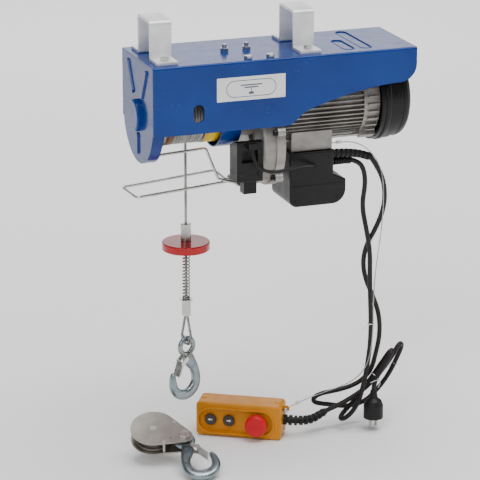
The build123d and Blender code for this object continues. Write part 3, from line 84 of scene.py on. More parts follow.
# Camera

VIEW_TURN = math.radians(19.8)
VIEW_DOWN = math.radians(17.5)
CAMERA_DISTANCE = 4.4937
CAMERA_LENS = 187.5
CAMERA_TARGET = at(189.3, 0, -249.0)


def make_camera():
    data = bpy.data.cameras.new("camera")
    data.lens = CAMERA_LENS
    data.sensor_width = 36.0
    data.clip_end = 60.0
    camera = bpy.data.objects.new("camera", data)
    bpy.context.scene.collection.objects.link(camera)
    flat = math.cos(VIEW_DOWN)
    look = Vector((math.sin(VIEW_TURN) * flat, math.cos(VIEW_TURN) * flat, -math.sin(VIEW_DOWN)))
    camera.location = CAMERA_TARGET - look * CAMERA_DISTANCE
    camera.rotation_euler = look.to_track_quat("-Z", "Y").to_euler()
    bpy.context.scene.camera = camera


# Materials

EDGE_R = 0.7 * MM


class Recipe:
    """A node material that is put together step by step around one Principled shader."""

    def __init__(self, name):
        self.material = bpy.data.materials.new(name)
        self.material.use_nodes = True
        self.tree = self.material.node_tree
        self.shader = self.tree.nodes["Principled BSDF"]
        self.place = self.node("ShaderNodeTexCoord").outputs["Object"]
        edge = self.node("ShaderNodeBevel", samples=6)
        edge.inputs["Radius"].default_value = EDGE_R
        self.normal = edge.outputs["Normal"]
        self.link(self.normal, self.shader.inputs["Normal"])

    def node(self, kind, **settings):
        made = self.tree.nodes.new(kind)
        for key, value in settings.items():
            setattr(made, key, value)
        return made

    def link(self, out, into):
        self.tree.links.new(out, into)

    def set(self, **values):
        for key, value in values.items():
            self.shader.inputs[key.replace("_", " ")].default_value = value

    def stretched(self, scale):
        mapping = self.node("ShaderNodeMapping")
        mapping.inputs["Scale"].default_value = scale
        self.link(self.place, mapping.inputs["Vector"])
        return mapping.outputs["Vector"]

    def noise(self, scale, detail=4.0, rough=0.55, stretch=None):
        made = self.node("ShaderNodeTexNoise")
        made.inputs["Scale"].default_value = scale
        made.inputs["Detail"].default_value = detail
        made.inputs["Roughness"].default_value = rough
        self.link(self.stretched(stretch) if stretch else self.place, made.inputs["Vector"])
        return made.outputs["Fac"]

    def ramp(self, value, low, high, low_to, high_to):
        made = self.node("ShaderNodeMapRange")
        for key, number in zip(("From Min", "From Max", "To Min", "To Max"), (low, high, low_to, high_to)):
            made.inputs[key].default_value = number
        self.link(value, made.inputs["Value"])
        return made.outputs["Result"]

    def mix(self, share, first, second):
        made = self.node("ShaderNodeMix", data_type="RGBA")
        self.link(share, made.inputs[0])
        for socket, colour in ((made.inputs[6], first), (made.inputs[7], second)):
            if hasattr(colour, "links"):
                self.link(colour, socket)
            else:
                socket.default_value = (*colour, 1)
        return made.outputs[2]

    def colour(self, out):
        self.link(out, self.shader.inputs["Base Color"])
        return out

    def rough(self, out):
        self.link(out, self.shader.inputs["Roughness"])

    def bump(self, height, strength, distance):
        made = self.node("ShaderNodeBump")
        made.inputs["Strength"].default_value = strength
        made.inputs["Distance"].default_value = distance
        self.link(height, made.inputs["Height"])
        self.link(self.normal, made.inputs["Normal"])
        self.normal = made.outputs["Normal"]
        self.link(self.normal, self.shader.inputs["Normal"])

    def math(self, operation, first, second=None):
        made = self.node("ShaderNodeMath", operation=operation)
        for socket, value in zip(made.inputs, (first, second)):
            if value is None:
                continue
            if hasattr(value, "links"):
                self.link(value, socket)
            else:
                socket.default_value = value
        return made.outputs[0]


def paint(name, deep, light, rough=0.2, coat=0.15):
    """Gloss enamel: soft colour drift, orange peel and faint dust."""
    recipe = Recipe(name)
    drift = recipe.noise(9, 3)
    dust = recipe.noise(160, 5, 0.7)
    tone = recipe.mix(recipe.ramp(drift, 0.3, 0.7, 0, 1), deep, light)
    recipe.colour(recipe.mix(recipe.ramp(dust, 0.62, 0.8, 0, 0.06), tone, (0.5, 0.5, 0.52)))
    recipe.rough(recipe.ramp(recipe.noise(40), 0.3, 0.7, rough - 0.05, rough + 0.08))
    recipe.bump(recipe.noise(420, 2), 0.08, 0.0004)
    recipe.set(Coat_Weight=coat, Coat_Roughness=0.12, Specular_IOR_Level=0.25)
    return recipe.material


def metal(name, dark, light, rough, grain=(60, 60, 60), bump=0.12, stain=None, polish=0.1, bare=1.0):
    """Bare or plated metal: grain along one way, mottled plating, fine scratches."""
    recipe = Recipe(name)
    recipe.set(Metallic=bare)
    mottle = recipe.ramp(recipe.noise(28, 5), 0.32, 0.68, 0, 1)
    tone = recipe.mix(mottle, dark, light)
    if stain:
        patch = recipe.ramp(recipe.noise(17, 3, 0.5), 0.56, 0.7, 0, 0.55)
        tone = recipe.mix(patch, tone, stain)
    recipe.colour(tone)
    streak = recipe.noise(1.0, 6, 0.6, stretch=grain)
    recipe.rough(recipe.ramp(streak, 0.25, 0.75, rough - polish, rough + polish))
    recipe.bump(streak, bump, 0.0004)
    recipe.bump(recipe.noise(900, 2), bump * 0.5, 0.0002)
    return recipe.material


def cast(name, dark, light, rough=0.5):
    """Sand or die cast aluminium: fine pitted skin with darker hollows."""
    recipe = Recipe(name)
    recipe.set(Metallic=0.85)
    skin = recipe.noise(480, 4, 0.65)
    cloud = recipe.ramp(recipe.noise(22, 4), 0.35, 0.65, 0, 1)
    tone = recipe.mix(cloud, dark, light)
    recipe.colour(recipe.mix(recipe.ramp(skin, 0.3, 0.42, 0.35, 0), tone, (0.2, 0.19, 0.18)))
    recipe.rough(recipe.ramp(skin, 0.3, 0.7, rough - 0.08, rough + 0.12))
    recipe.bump(skin, 0.35, 0.0005)
    recipe.bump(recipe.noise(70, 3), 0.15, 0.001)
    return recipe.material


def plastic(name, deep, light, rough=0.42, bump=0.2, scale=650, coat=0.0):
    """Moulded plastic or rubber: fine spark-eroded texture, faint wear."""
    recipe = Recipe(name)
    drift = recipe.ramp(recipe.noise(14, 4), 0.3, 0.7, 0, 1)
    recipe.colour(recipe.mix(drift, deep, light))
    recipe.rough(recipe.ramp(recipe.noise(55, 4), 0.3, 0.7, rough - 0.07, rough + 0.1))
    recipe.bump(recipe.noise(scale, 3), bump, 0.0003)
    recipe.set(Specular_IOR_Level=0.28, Coat_Weight=coat, Coat_Roughness=0.2)
    return recipe.material


def wound_metal(name):
    """Rope wound on the drum: slanting strands round the drum axis, with painted shade in the grooves between
    them.
    """
    recipe = Recipe(name)
    recipe.set(Metallic=0.9)
    split = recipe.node("ShaderNodeSeparateXYZ")
    recipe.link(recipe.place, split.inputs[0])
    x, y, z = split.outputs
    turn = recipe.math("ARCTAN2", recipe.math("ADD", z, -AXIS_Z * MM), y)
    arc = recipe.math("MULTIPLY", turn, STRAND_PER_TURN)
    slant = recipe.math("MULTIPLY", x, 2 * math.pi / STRAND_SLANT)
    wave = recipe.math("ABSOLUTE", recipe.math("SINE", recipe.math("ADD", arc, slant)))
    grit = recipe.ramp(recipe.noise(90, 5), 0.3, 0.7, 0, 1)
    tone = recipe.mix(grit, (0.30, 0.29, 0.27), (0.55, 0.54, 0.52))
    # Painted shade: where the wave is low, in the grooves between strands, the colour is darkened towards
    # near-black.
    recipe.colour(recipe.mix(recipe.ramp(wave, 0.0, 0.45, 0.8, 0), tone, (0.05, 0.045, 0.04)))
    recipe.rough(recipe.ramp(grit, 0, 1, 0.32, 0.5))
    recipe.bump(wave, 0.8, 0.0008)
    return recipe.material


STRAND_PER_TURN = 32.0
STRAND_SLANT = 3.4 * MM


def make_materials():
    """One material for each slot of the record, under the slot's name."""
    return {
        "blue_paint": paint("blue_paint", (0.0, 0.026, 0.18), (0.0, 0.04, 0.25)),
        "red_paint": paint("red_paint", (0.36, 0.0, 0.002), (0.56, 0.002, 0.006), 0.18, 0.4),
        "zinc_plate": metal("zinc_plate", (0.42, 0.42, 0.41), (0.7, 0.7, 0.68), 0.3, (30, 30, 240)),
        "hook_zinc": metal("hook_zinc", (0.17, 0.21, 0.235), (0.36, 0.42, 0.45), 0.33, (80, 80, 80), 0.2,
                           stain=(0.27, 0.22, 0.14)),
        "strap_zinc": metal("strap_zinc", (0.74, 0.74, 0.75), (0.93, 0.93, 0.93), 0.4, (25, 25, 25), 0.1,
                            bare=0.45),
        "nickel": metal("nickel", (0.30, 0.28, 0.25), (0.43, 0.405, 0.365), 0.36, (300, 40, 40), 0.1),
        "wire_steel": metal("wire_steel", (0.2, 0.195, 0.185), (0.46, 0.45, 0.43), 0.26, (60, 60, 60), 0.1),
        "bearing_steel": metal("bearing_steel", (0.5, 0.5, 0.5), (0.68, 0.68, 0.68), 0.18, (9, 200, 200)),
        "dark_steel": metal("dark_steel", (0.15, 0.145, 0.14), (0.3, 0.29, 0.28), 0.35, (200, 20, 20)),
        "iron_core": metal("iron_core", (0.1, 0.09, 0.085), (0.22, 0.2, 0.19), 0.5, (900, 10, 10), 0.3),
        "black_steel": metal("black_steel", (0.015, 0.015, 0.016), (0.05, 0.05, 0.053), 0.35),
        "cast_aluminium": cast("cast_aluminium", (0.25, 0.235, 0.215), (0.43, 0.41, 0.39)),
        "black_plastic": plastic("black_plastic", (0.004, 0.0036, 0.0036), (0.011, 0.01, 0.0095), 0.34),
        "black_cable": plastic("black_cable", (0.008, 0.0065, 0.0065), (0.019, 0.016, 0.015), 0.42, 0.1, 300),
        "black_rubber": plastic("black_rubber", (0.006, 0.0055, 0.0055), (0.013, 0.012, 0.012), 0.5, 0.25,
                                500),
        "yellow_plastic": plastic("yellow_plastic", (0.52, 0.185, 0.0), (0.66, 0.25, 0.001), 0.36, 0.25, 500),
        "red_plastic": plastic("red_plastic", (0.46, 0.0, 0.006), (0.6, 0.0, 0.012), 0.36, 0.12, 700, 0.1),
        "grey_button": plastic("grey_button", (0.045, 0.035, 0.033), (0.085, 0.07, 0.066), 0.35, 0.12, 700),
        "white_plastic": plastic("white_plastic", (0.7, 0.7, 0.7), (0.85, 0.85, 0.84), 0.35, 0.08),
        "wound_rope": wound_metal("wound_rope"),
        "label_white": plastic("label_white", (0.78, 0.78, 0.8), (0.88, 0.88, 0.9), 0.3, 0.03, 300, 0.2),
        "label_grey": plastic("label_grey", (0.06, 0.08, 0.11), (0.11, 0.13, 0.16), 0.35, 0.03, 300),
        "label_yellow": plastic("label_yellow", (0.6, 0.36, 0.0), (0.76, 0.5, 0.004), 0.4, 0.12, 200),
        "brown_tape": plastic("brown_tape", (0.13, 0.05, 0.018), (0.23, 0.095, 0.038), 0.45, 0.3, 300),
    }


OWN_LOOK = {"hanger_straps": "strap_zinc", "wound_rope": "wound_rope"}


def dress_nodes(materials):
    """Gives every CAD node the material of its slot."""
    slots = {part["node"]: part["material_slot"] for part in frame["record"]["subparts"]}
    for name, node in frame["nodes"].items():
        look = materials[OWN_LOOK.get(name, slots[name])]
        if not node.data.materials:
            node.data.materials.append(look)
        for place in node.material_slots:
            place.material = look


# Mesh tools


def add_object(name, data, material, body, replaced=()):
    piece = bpy.data.objects.new(name, data)
    bpy.context.scene.collection.objects.link(piece)
    data.materials.append(MATERIALS[material])
    if body:
        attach(piece, body)
    if replaced:
        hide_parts(*replaced)
    return piece


def mesh_from(name, verts, faces, smooth=True):
    data = bpy.data.meshes.new(name)
    data.from_pydata([tuple(v) for v in verts], [], faces)
    data.validate()
    data.polygons.foreach_set("use_smooth", [smooth] * len(data.polygons))
    return data


def frames_along(points):
    """A pair of side directions at each point of a line, carried along without twist."""
    count = len(points)
    ways = []
    for k in range(count):
        ways.append((points[min(k + 1, count - 1)] - points[max(k - 1, 0)]).normalized())
    side = ways[0].orthogonal().normalized()
    pairs = []
    for way in ways:
        side = (side - way * side.dot(way)).normalized()
        pairs.append((side, way.cross(side)))
    return pairs


def tube_parts(points, radius, sides, offset):
    """Vertices and faces of a capped tube, numbered from offset."""
    verts = []
    faces = []
    for point, (side, up) in zip(points, frames_along(points)):
        for k in range(sides):
            angle = 2 * math.pi * k / sides
            verts.append(point + (side * math.cos(angle) + up * math.sin(angle)) * radius)
    last = len(points) - 1
    for row in range(last):
        for k in range(sides):
            low = offset + row * sides
            nxt = (k + 1) % sides
            faces.append((low + k, low + nxt, low + sides + nxt, low + sides + k))
    faces.append(tuple(offset + k for k in reversed(range(sides))))
    faces.append(tuple(offset + last * sides + k for k in range(sides)))
    return verts, faces


def tube(name, points, radius, material, body, sides=12, replaced=()):
    verts, faces = tube_parts(points, radius, sides, 0)
    return add_object(name, mesh_from(name, verts, faces), material, body, replaced)


ROPE_R = 2.5 * MM
STRAND_R = 0.86 * MM
LAY_LENGTH = 30.0 * MM
STRANDS = 6


def rope_mesh(name, points):
    """Six strands laid round a core along an evenly stepped line."""
    pairs = frames_along(points)
    length = 0.0
    lines = [[] for _ in range(STRANDS)]
    reach = ROPE_R - STRAND_R
    for index, (point, (side, up)) in enumerate(zip(points, pairs)):
        if index:
            length += (point - points[index - 1]).length
        for strand in range(STRANDS):
            angle = 2 * math.pi * (length / LAY_LENGTH + strand / STRANDS)
            lines[strand].append(point + (side * math.cos(angle) + up * math.sin(angle)) * reach)
    verts = []
    faces = []
    for line, radius in [(line, STRAND_R) for line in lines] + [(points, STRAND_R)]:
        more, shapes = tube_parts(line, radius, 8, len(verts))
        verts += more
        faces += shapes
    return mesh_from(name, verts, faces)


def stepped(start, end, count):
    return [start.lerp(end, k / (count - 1)) for k in range(count)]


def plate(name, plane, outline, thick, material, body, bevel=0.0):
    """A flat piece with the given outline (mm) on a plane (origin, x way, normal), thick mm out from it."""
    origin, x_way, normal = plane
    y_way = normal.cross(x_way)
    low = [origin + (x_way * u + y_way * v) * MM for u, v in outline]
    high = [point + normal * thick * MM for point in low]
    count = len(outline)
    faces = [tuple(reversed(range(count))), tuple(range(count, 2 * count))]
    faces += [(k, (k + 1) % count, count + (k + 1) % count, count + k) for k in range(count)]
    piece = add_object(name, mesh_from(name, low + high, faces, False), material, body)
    if bevel:
        modifier = piece.modifiers.new("bevel", "BEVEL")
        modifier.width = bevel * MM
        modifier.segments = 3
        modifier.limit_method = "ANGLE"
    return piece


def rounded(width, height, radius, centre=(0, 0), steps=6):
    """Outline of a rounded rectangle."""
    points = []
    corners = ((1, 1, 0), (-1, 1, 90), (-1, -1, 180), (1, -1, 270))
    for sx, sy, start in corners:
        cx = centre[0] + sx * (width / 2 - radius)
        cy = centre[1] + sy * (height / 2 - radius)
        for k in range(steps + 1):
            angle = math.radians(start + 90 * k / steps)
            points.append((cx + radius * math.cos(angle), cy + radius * math.sin(angle)))
    return points


def lathe(name, origin, axis, profile, material, body, sides=48, hollow=False):
    """Turns a profile of (distance along, radius) in mm round an axis: a solid, or a ring if it is hollow."""
    side = axis.orthogonal().normalized()
    up = axis.cross(side)
    verts = []
    faces = []
    for reach, radius in profile:
        for k in range(sides):
            angle = 2 * math.pi * k / sides
            out = side * math.cos(angle) + up * math.sin(angle)
            verts.append(origin + (axis * reach + out * radius) * MM)
    count = len(profile)
    for row in range(count if hollow else count - 1):
        low, high = row * sides, (row + 1) % count * sides
        for k in range(sides):
            nxt = (k + 1) % sides
            faces.append((low + k, low + nxt, high + nxt, high + k))
    if not hollow:
        faces.append(tuple(reversed(range(sides))))
        faces.append(tuple((count - 1) * sides + k for k in range(sides)))
    piece = add_object(name, mesh_from(name, verts, faces), material, body)
    split = piece.modifiers.new("edges", "BEVEL")
    split.width = 0.3 * MM
    split.segments = 2
    split.limit_method = "ANGLE"
    return piece


def ring_points(centre, first, second, across_1, across_2, steps=40, turn=1.0):
    """Points of an oval ring in the plane of two directions, half-widths in mm."""
    points = []
    for k in range(steps + 1):
        angle = 2 * math.pi * turn * k / steps
        step = first * across_1 * math.cos(angle) + second * across_2 * math.sin(angle)
        points.append(centre + step * MM)
    return points


# Cords

CABLE_R = 4.5 * MM
LEAD_R = 3.0 * MM
SAFETY_WIRE_R = 0.9 * MM

PENDANT_CABLE = [
    (424, -40, -105),
    (441, -37, -128),
    (456, -32, -162),
    (460, -24, -205),
    (452, -9, -248),
    (440, 10, -286),
    (437, 20, -323),
    (445, 25, -359),
    (461, 27, -393),
    (475, 27, -432),
    (478, 29, -476),
    (472, 35, -515),
    (471, 46, -542),
    (465, 56, -562),
    (450, 62, -578),
    (424, 63, -586),
    (394, 61, -588),
    (376, 60, -589),
    (363, 61, -593),
    (358, 63, -601),
    (363, 65, -608),
    (377, 67, -613),
    (397, 69, -618),
    (423, 72, -626),
    (450, 74, -627),
    (471, 75, -621),
    (488, 75, -608),
    (506, 73, -587),
    (521, 71, -563),
    (531, 69, -540),
    (537, 65, -522),
    (537, 60, -511),
    (531, 55, -506),
    (523, 50, -511),
    (512, 46, -525),
    (498, 45, -543),
    (484, 45, -559),
    (467, 44, -575),
    (448, 43, -588),
    (425, 41, -599),
    (401, 42, -610),
    (376, 44, -619),
]
MAINS_CABLE = [
    (391, -26, -111),
    (408, -24, -117),
    (420, -20, -134),
    (425, -16, -162),
    (421, -10, -205),
    (432, -6, -250),
    (443, 0, -296),
    (445, 4, -342),
    (449, 10, -388),
    (454, 16, -440),
    (456, 22, -485),
    (454, 28, -524),
    (451, 32, -556),
    (446, 33, -580),
    (439, 31, -601),
    (427, 31, -621),
    (415, 33, -633),
    (408, 39, -638),
    (407, 46, -638),
    (413, 53, -634),
    (425, 57, -625),
    (438, 58, -614),
    (453, 59, -597),
    (471, 59, -575),
    (488, 59, -552),
    (501, 57, -533),
    (509, 54, -520),
    (511, 47, -514),
    (507, 39, -516),
    (497, 34, -528),
    (484, 32, -545),
    (473, 29, -559),
    (467, 26, -571),
    (466, 26, -584),
]
LIMIT_LEAD = [
    (180, -87, -56),
    (182, -90, -75),
    (191, -95, -90),
    (208, -98, -98),
    (232, -99, -98),
    (258, -95, -94),
    (282, -86, -95),
    (300, -74, -101),
    (309, -60, -107),
]
SAFETY_WIRE = [
    (345.4, -49, -70),
    (370, -50, -69),
    (395, -51, -74),
    (418, -50, -90),
    (436, -48, -114),
    (447, -46, -145),
    (450, -43, -188),
    (450, -37, -240),
    (447, -29, -290),
    (446, -18, -340),
    (448, -8, -390),
    (452, 0, -440),
    (452, 6, -490),
    (443, 11, -532),
    (415, 17, -558),
    (372, 28, -573),
    (334, 40, -588),
    (307, 49, -603),
]


def smooth_line(name, route, radius):
    """A curve object whose one NURBS spline has the route's points as its control points."""
    curve = bpy.data.curves.new(name, "CURVE")
    curve.dimensions = "3D"
    curve.resolution_u = 12
    curve.bevel_depth = radius
    curve.bevel_resolution = 6
    curve.use_fill_caps = True
    spline = curve.splines.new("NURBS")
    spline.points.add(len(route) - 1)
    for point, place in zip(spline.points, route):
        point.co = (*at(*place), 1)
    spline.order_u = 3
    spline.use_endpoint_u = True
    return curve


def line_points(route):
    """Points of the smooth line that a route makes."""
    curve = smooth_line("line", route, 0)
    holder = bpy.data.objects.new("line", curve)
    bpy.context.scene.collection.objects.link(holder)
    mesh = bpy.data.meshes.new_from_object(holder)
    points = [v.co.copy() for v in mesh.vertices]
    bpy.data.objects.remove(holder)
    bpy.data.meshes.remove(mesh)
    return points


def length_of(points):
    return sum((b - a).length for a, b in zip(points, points[1:]))


def make_cords():
    pendant = add_object("pendant_cord", smooth_line("pendant_cord", PENDANT_CABLE, CABLE_R), "black_cable",
                         "frame", ["pendant_cable", "pendant_cable_end", "cable_hank"])
    mains = add_object("mains_cord", smooth_line("mains_cord", MAINS_CABLE, CABLE_R), "black_cable", "frame",
                       ["mains_cable"])
    lead = add_object("switch_lead", smooth_line("switch_lead", LIMIT_LEAD, LEAD_R), "black_cable", "frame",
                      ["limit_lead"])
    wire = add_object("safety_line", smooth_line("safety_line", SAFETY_WIRE, SAFETY_WIRE_R), "wire_steel",
                      "frame", ["safety_wire"])
    length_of(line_points(PENDANT_CABLE))
    length_of(line_points(MAINS_CABLE))
    length_of(line_points(LIMIT_LEAD))
    length_of(line_points(SAFETY_WIRE))


TIE_R = 0.75 * MM
THIN_TIE_R = 0.6 * MM


def make_ties():
    """Twist ties: one on the mains cable, one round the middle of the hank, one on its right loop."""
    x_way, y_way = along(1, 0, 0), along(0, 1, 0)
    upper = at(454.5, 17, -445)
    tail = [upper + Vector(step) * MM for step in ((-4, -5, 1), (-9, -8, -1), (-15, -9, -3), (-21, -9, -5))]
    tube("upper_tie", ring_points(upper, x_way, y_way, 5.6, 5.6), TIE_R, "white_plastic", "frame", 8,
         ["cable_tie"])
    tube("upper_tie_tail", tail, TIE_R, "white_plastic", "frame", 8)
    middle = at(476, 45, -562)
    slant = along(0.75, 0, 0.66)
    cross = along(0.66, 0, -0.75)
    tube("middle_tie", ring_points(middle, cross, y_way, 9, 22), TIE_R, "white_plastic", "frame", 8)
    end = middle - y_way * 22 * MM
    tube("middle_tie_tail", [end, end + (cross * 7 - slant * 4) * MM, end + (cross * 10 - slant * 12) * MM],
         TIE_R, "white_plastic", "frame", 8)
    tube("middle_tie_tail_2", [end, end - (cross * 5 + slant * 7) * MM, end - (cross * 9 + slant * 16) * MM],
         TIE_R, "white_plastic", "frame", 8)
    right = at(526, 69.6, -551)
    run = along(0.4, -0.05, 0.9)
    flat = run.cross(y_way).normalized()
    tube("loop_tie", ring_points(right, flat, y_way, 5.4, 5.4), THIN_TIE_R, "wire_steel", "frame", 8)
    tail = [right + (flat * out - run * down) * MM for out, down in ((5, 2), (7, 8), (5, 13))]
    tube("loop_tie_tail", tail, THIN_TIE_R, "wire_steel", "frame", 8)


# Ropes of the hook line

ROPE_X, TURN_R = 105.0, 54.5
FERRULE_TOP_Z = -224.5
SLEEVE_LOW_Z = -399.5
THIMBLE_Z = -442.0
LOOP_R = 13.2
LEG_SPREAD = 2.6
HOOK_TURN = math.radians(20.2)


def make_ropes():
    top, low = at(ROPE_X, TURN_R, 0), at(ROPE_X, TURN_R, FERRULE_TOP_Z - 4)
    data = rope_mesh("hanging_rope_strands", stepped(top, low, 180))
    rope = add_object("hanging_rope_strands", data, "wire_steel", None, ["hanging_rope"])
    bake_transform(rope)
    core = stepped(low, at(ROPE_X, TURN_R, -372), 120)
    add_object("spring_rope_strands", rope_mesh("spring_rope_strands", core), "wire_steel", "hook_line")
    side = Vector((math.sin(HOOK_TURN), -math.cos(HOOK_TURN), 0))
    up = Vector((0, 0, 1))
    centre = at(ROPE_X, TURN_R, THIMBLE_Z)
    height = SLEEVE_LOW_Z - THIMBLE_Z
    tilt = math.atan2(LOOP_R - LEG_SPREAD, height)
    flat = [(LEG_SPREAD, height + k) for k in range(20, -1, -2)]
    swing_from = tilt * 0.9
    steps = 60
    for k in range(1, 20):
        share = k / 20
        end_u, end_v = LOOP_R * math.cos(swing_from), LOOP_R * math.sin(swing_from)
        flat.append((LEG_SPREAD + (end_u - LEG_SPREAD) * share, height + (end_v - height) * share))
    for k in range(steps + 1):
        angle = swing_from - (math.pi + 2 * swing_from) * k / steps
        flat.append((LOOP_R * math.cos(angle), LOOP_R * math.sin(angle)))
    half = [(-u, v) for u, v in reversed(flat[: 11 + 19])]
    points = [centre + (side * u + up * v) * MM for u, v in flat + half]
    loop = rope_mesh("rope_eye_strands", points)
    add_object("rope_eye_strands", loop, "wire_steel", "hook_line", ["rope_eye"])


SPRING_LOW_Z, SPRING_TOP_Z = -368.5, -273.0
SPRING_R = 6.4
SPRING_WIRE_R = 1.1
SPRING_TURNS = 17
END_TURNS = 1.25


def make_spring():
    """The buffer spring, closed at both ends, which the stop disc pushes together."""
    span = SPRING_TOP_Z - SPRING_LOW_Z - 2 * SPRING_WIRE_R
    closed = END_TURNS * 2 * SPRING_WIRE_R
    points = []
    steps = SPRING_TURNS * 28
    for k in range(steps + 1):
        turn = SPRING_TURNS * k / steps
        if turn < END_TURNS:
            rise = turn * 2 * SPRING_WIRE_R
        elif turn > SPRING_TURNS - END_TURNS:
            rise = span - (SPRING_TURNS - turn) * 2 * SPRING_WIRE_R
        else:
            rise = closed + (span - 2 * closed) * (turn - END_TURNS) / (SPRING_TURNS - 2 * END_TURNS)
        angle = 2 * math.pi * turn
        points.append(at(ROPE_X + SPRING_R * math.cos(angle), TURN_R + SPRING_R * math.sin(angle),
                         SPRING_LOW_Z + SPRING_WIRE_R + rise))
    spring = tube("buffer_spring", points, SPRING_WIRE_R * MM, "wire_steel", None, 8, ["stop_spring"])
    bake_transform(spring)


# Forged hooks


def hook_frame(origin, x_way, normal):
    return origin, x_way.normalized(), normal.cross(x_way).normalized(), normal.normalized()


def arc_section(angle):
    """Middle and half-width of the bowl at an angle, from its inner and its outer circle."""
    inner = Vector((6.35 + 19.1 * math.cos(angle), -63.9 + 19.1 * math.sin(angle)))
    outer = Vector((4.6 + 34.5 * math.cos(angle), -68.5 + 34.5 * math.sin(angle)))
    return (inner + outer) / 2, (inner - outer).length / 2


def forged_hook(name, place, body, node):
    """An eye hook with rounded sections, joined to its ring eye and smoothed."""
    origin, x_way, y_way, normal = place
    rows = [((0, -15), 9.5, 5.2), ((-3.5, -24), 12.2, 6.6), ((-9, -33), 11.2, 7.0), ((-15.5, -43), 9.2, 7.0),
            ((-19.6, -54), 8.6, 7.0)]
    for k in range(15):
        middle, half = arc_section(math.radians(172 + 188 * k / 14))
        rows.append((tuple(middle), half, 7.0))
    rows += [((33.0, -57), 5.9, 6.2), ((32.4, -51.5), 5.2, 5.6), ((32.0, -47.5), 4.0, 4.4),
             ((31.9, -45.4), 1.8, 2.2)]
    sides = 24
    verts = []
    faces = []
    count = len(rows)
    for k, (middle, half, deep) in enumerate(rows):
        before = Vector(rows[max(k - 1, 0)][0])
        after = Vector(rows[min(k + 1, count - 1)][0])
        way = (after - before).normalized()
        out = Vector((-way.y, way.x))
        for s in range(sides):
            angle = 2 * math.pi * s / sides
            c, t = math.cos(angle), math.sin(angle)
            width = half * math.copysign(abs(c) ** 0.8, c)
            depth = deep * math.copysign(abs(t) ** 0.8, t)
            u, v = Vector(middle) + out * width
            verts.append(origin + (x_way * u + y_way * v + normal * depth) * MM)
    for row in range(count - 1):
        for s in range(sides):
            low = row * sides
            nxt = (s + 1) % sides
            faces.append((low + s, low + nxt, low + sides + nxt, low + sides + s))
    faces.append(tuple(reversed(range(sides))))
    faces.append(tuple((count - 1) * sides + s for s in range(sides)))
    ring_r, bar_r, around, over = 15.0, 5.0, 64, 20
    start = len(verts)
    for k in range(around):
        a = 2 * math.pi * k / around
        for s in range(over):
            b = 2 * math.pi * s / over
            reach = ring_r + bar_r * math.cos(b)
            verts.append(origin + (x_way * reach * math.cos(a) + y_way * reach * math.sin(a)
                                   + normal * bar_r * 0.92 * math.sin(b)) * MM)
    for k in range(around):
        for s in range(over):
            this, nxt = start + k * over, start + ((k + 1) % around) * over
            faces.append((this + s, nxt + s, nxt + (s + 1) % over, this + (s + 1) % over))
    data = mesh_from(name, verts, faces)
    shape = bmesh.new()
    shape.from_mesh(data)
    bmesh.ops.recalc_face_normals(shape, faces=shape.faces)
    shape.to_mesh(data)
    shape.free()
    piece = add_object(name, data, "hook_zinc", body, [node])
    remesh = piece.modifiers.new("join", "REMESH")
    remesh.mode = "VOXEL"
    remesh.voxel_size = 0.9 * MM
    remesh.use_smooth_shade = True
    soft = piece.modifiers.new("soften", "SMOOTH")
    soft.factor = 0.5
    soft.iterations = 12
    return piece


BLOCK_LEAN = math.radians(23.5)
BLOCK_TURN = math.radians(19.8)
BLOCK_EYE = (75.9, -16.8, GROUND_Z + 44.6)
BLOCK_HOOK_ANGLE = 23.6


def block_ways(turn_deg):
    """The block's own x way, turned in its plane, and its normal."""
    side = Vector((math.cos(BLOCK_TURN), -math.sin(BLOCK_TURN), 0))
    back = Vector((math.sin(BLOCK_TURN), math.cos(BLOCK_TURN), 0))
    up = Vector((0, 0, 1))
    normal = up * math.cos(BLOCK_LEAN) - back * math.sin(BLOCK_LEAN)
    rise = back * math.cos(BLOCK_LEAN) + up * math.sin(BLOCK_LEAN)
    turn = math.radians(turn_deg)
    return side * math.cos(turn) + rise * math.sin(turn), normal


def make_hooks():
    x_way = Vector((-math.cos(HOOK_TURN), -math.sin(HOOK_TURN), 0))
    normal = Vector((-math.sin(HOOK_TURN), math.cos(HOOK_TURN), 0))
    forged_hook("forged_hook", hook_frame(at(ROPE_X, TURN_R, -460), x_way, normal), "hook", "hook")
    x_way, normal = block_ways(BLOCK_HOOK_ANGLE)
    forged_hook("forged_block_hook", hook_frame(at(*BLOCK_EYE), x_way, normal), "block_hook", "block_hook")


# Small pieces

PENDANT_CORNER = (142.0, 112.0, GROUND_Z)
PENDANT_TURN = math.radians(-31.6)
BUTTON_Z = 31.0


def pendant_plane(out, along_mm, high):
    """Origin, x way and normal of a plane on the pendant's face."""
    x_way = Vector((math.cos(PENDANT_TURN), math.sin(PENDANT_TURN), 0))
    normal = Vector((math.sin(PENDANT_TURN), -math.cos(PENDANT_TURN), 0))
    origin = at(*PENDANT_CORNER) + (x_way * along_mm + normal * out + Vector((0, 0, high))) * MM
    return origin, x_way, normal


ARROW = [(-6, 0), (-1.5, 3.4), (-1.5, 1.4), (5, 1.4), (5, -1.4), (-1.5, -1.4), (-1.5, -3.4)]


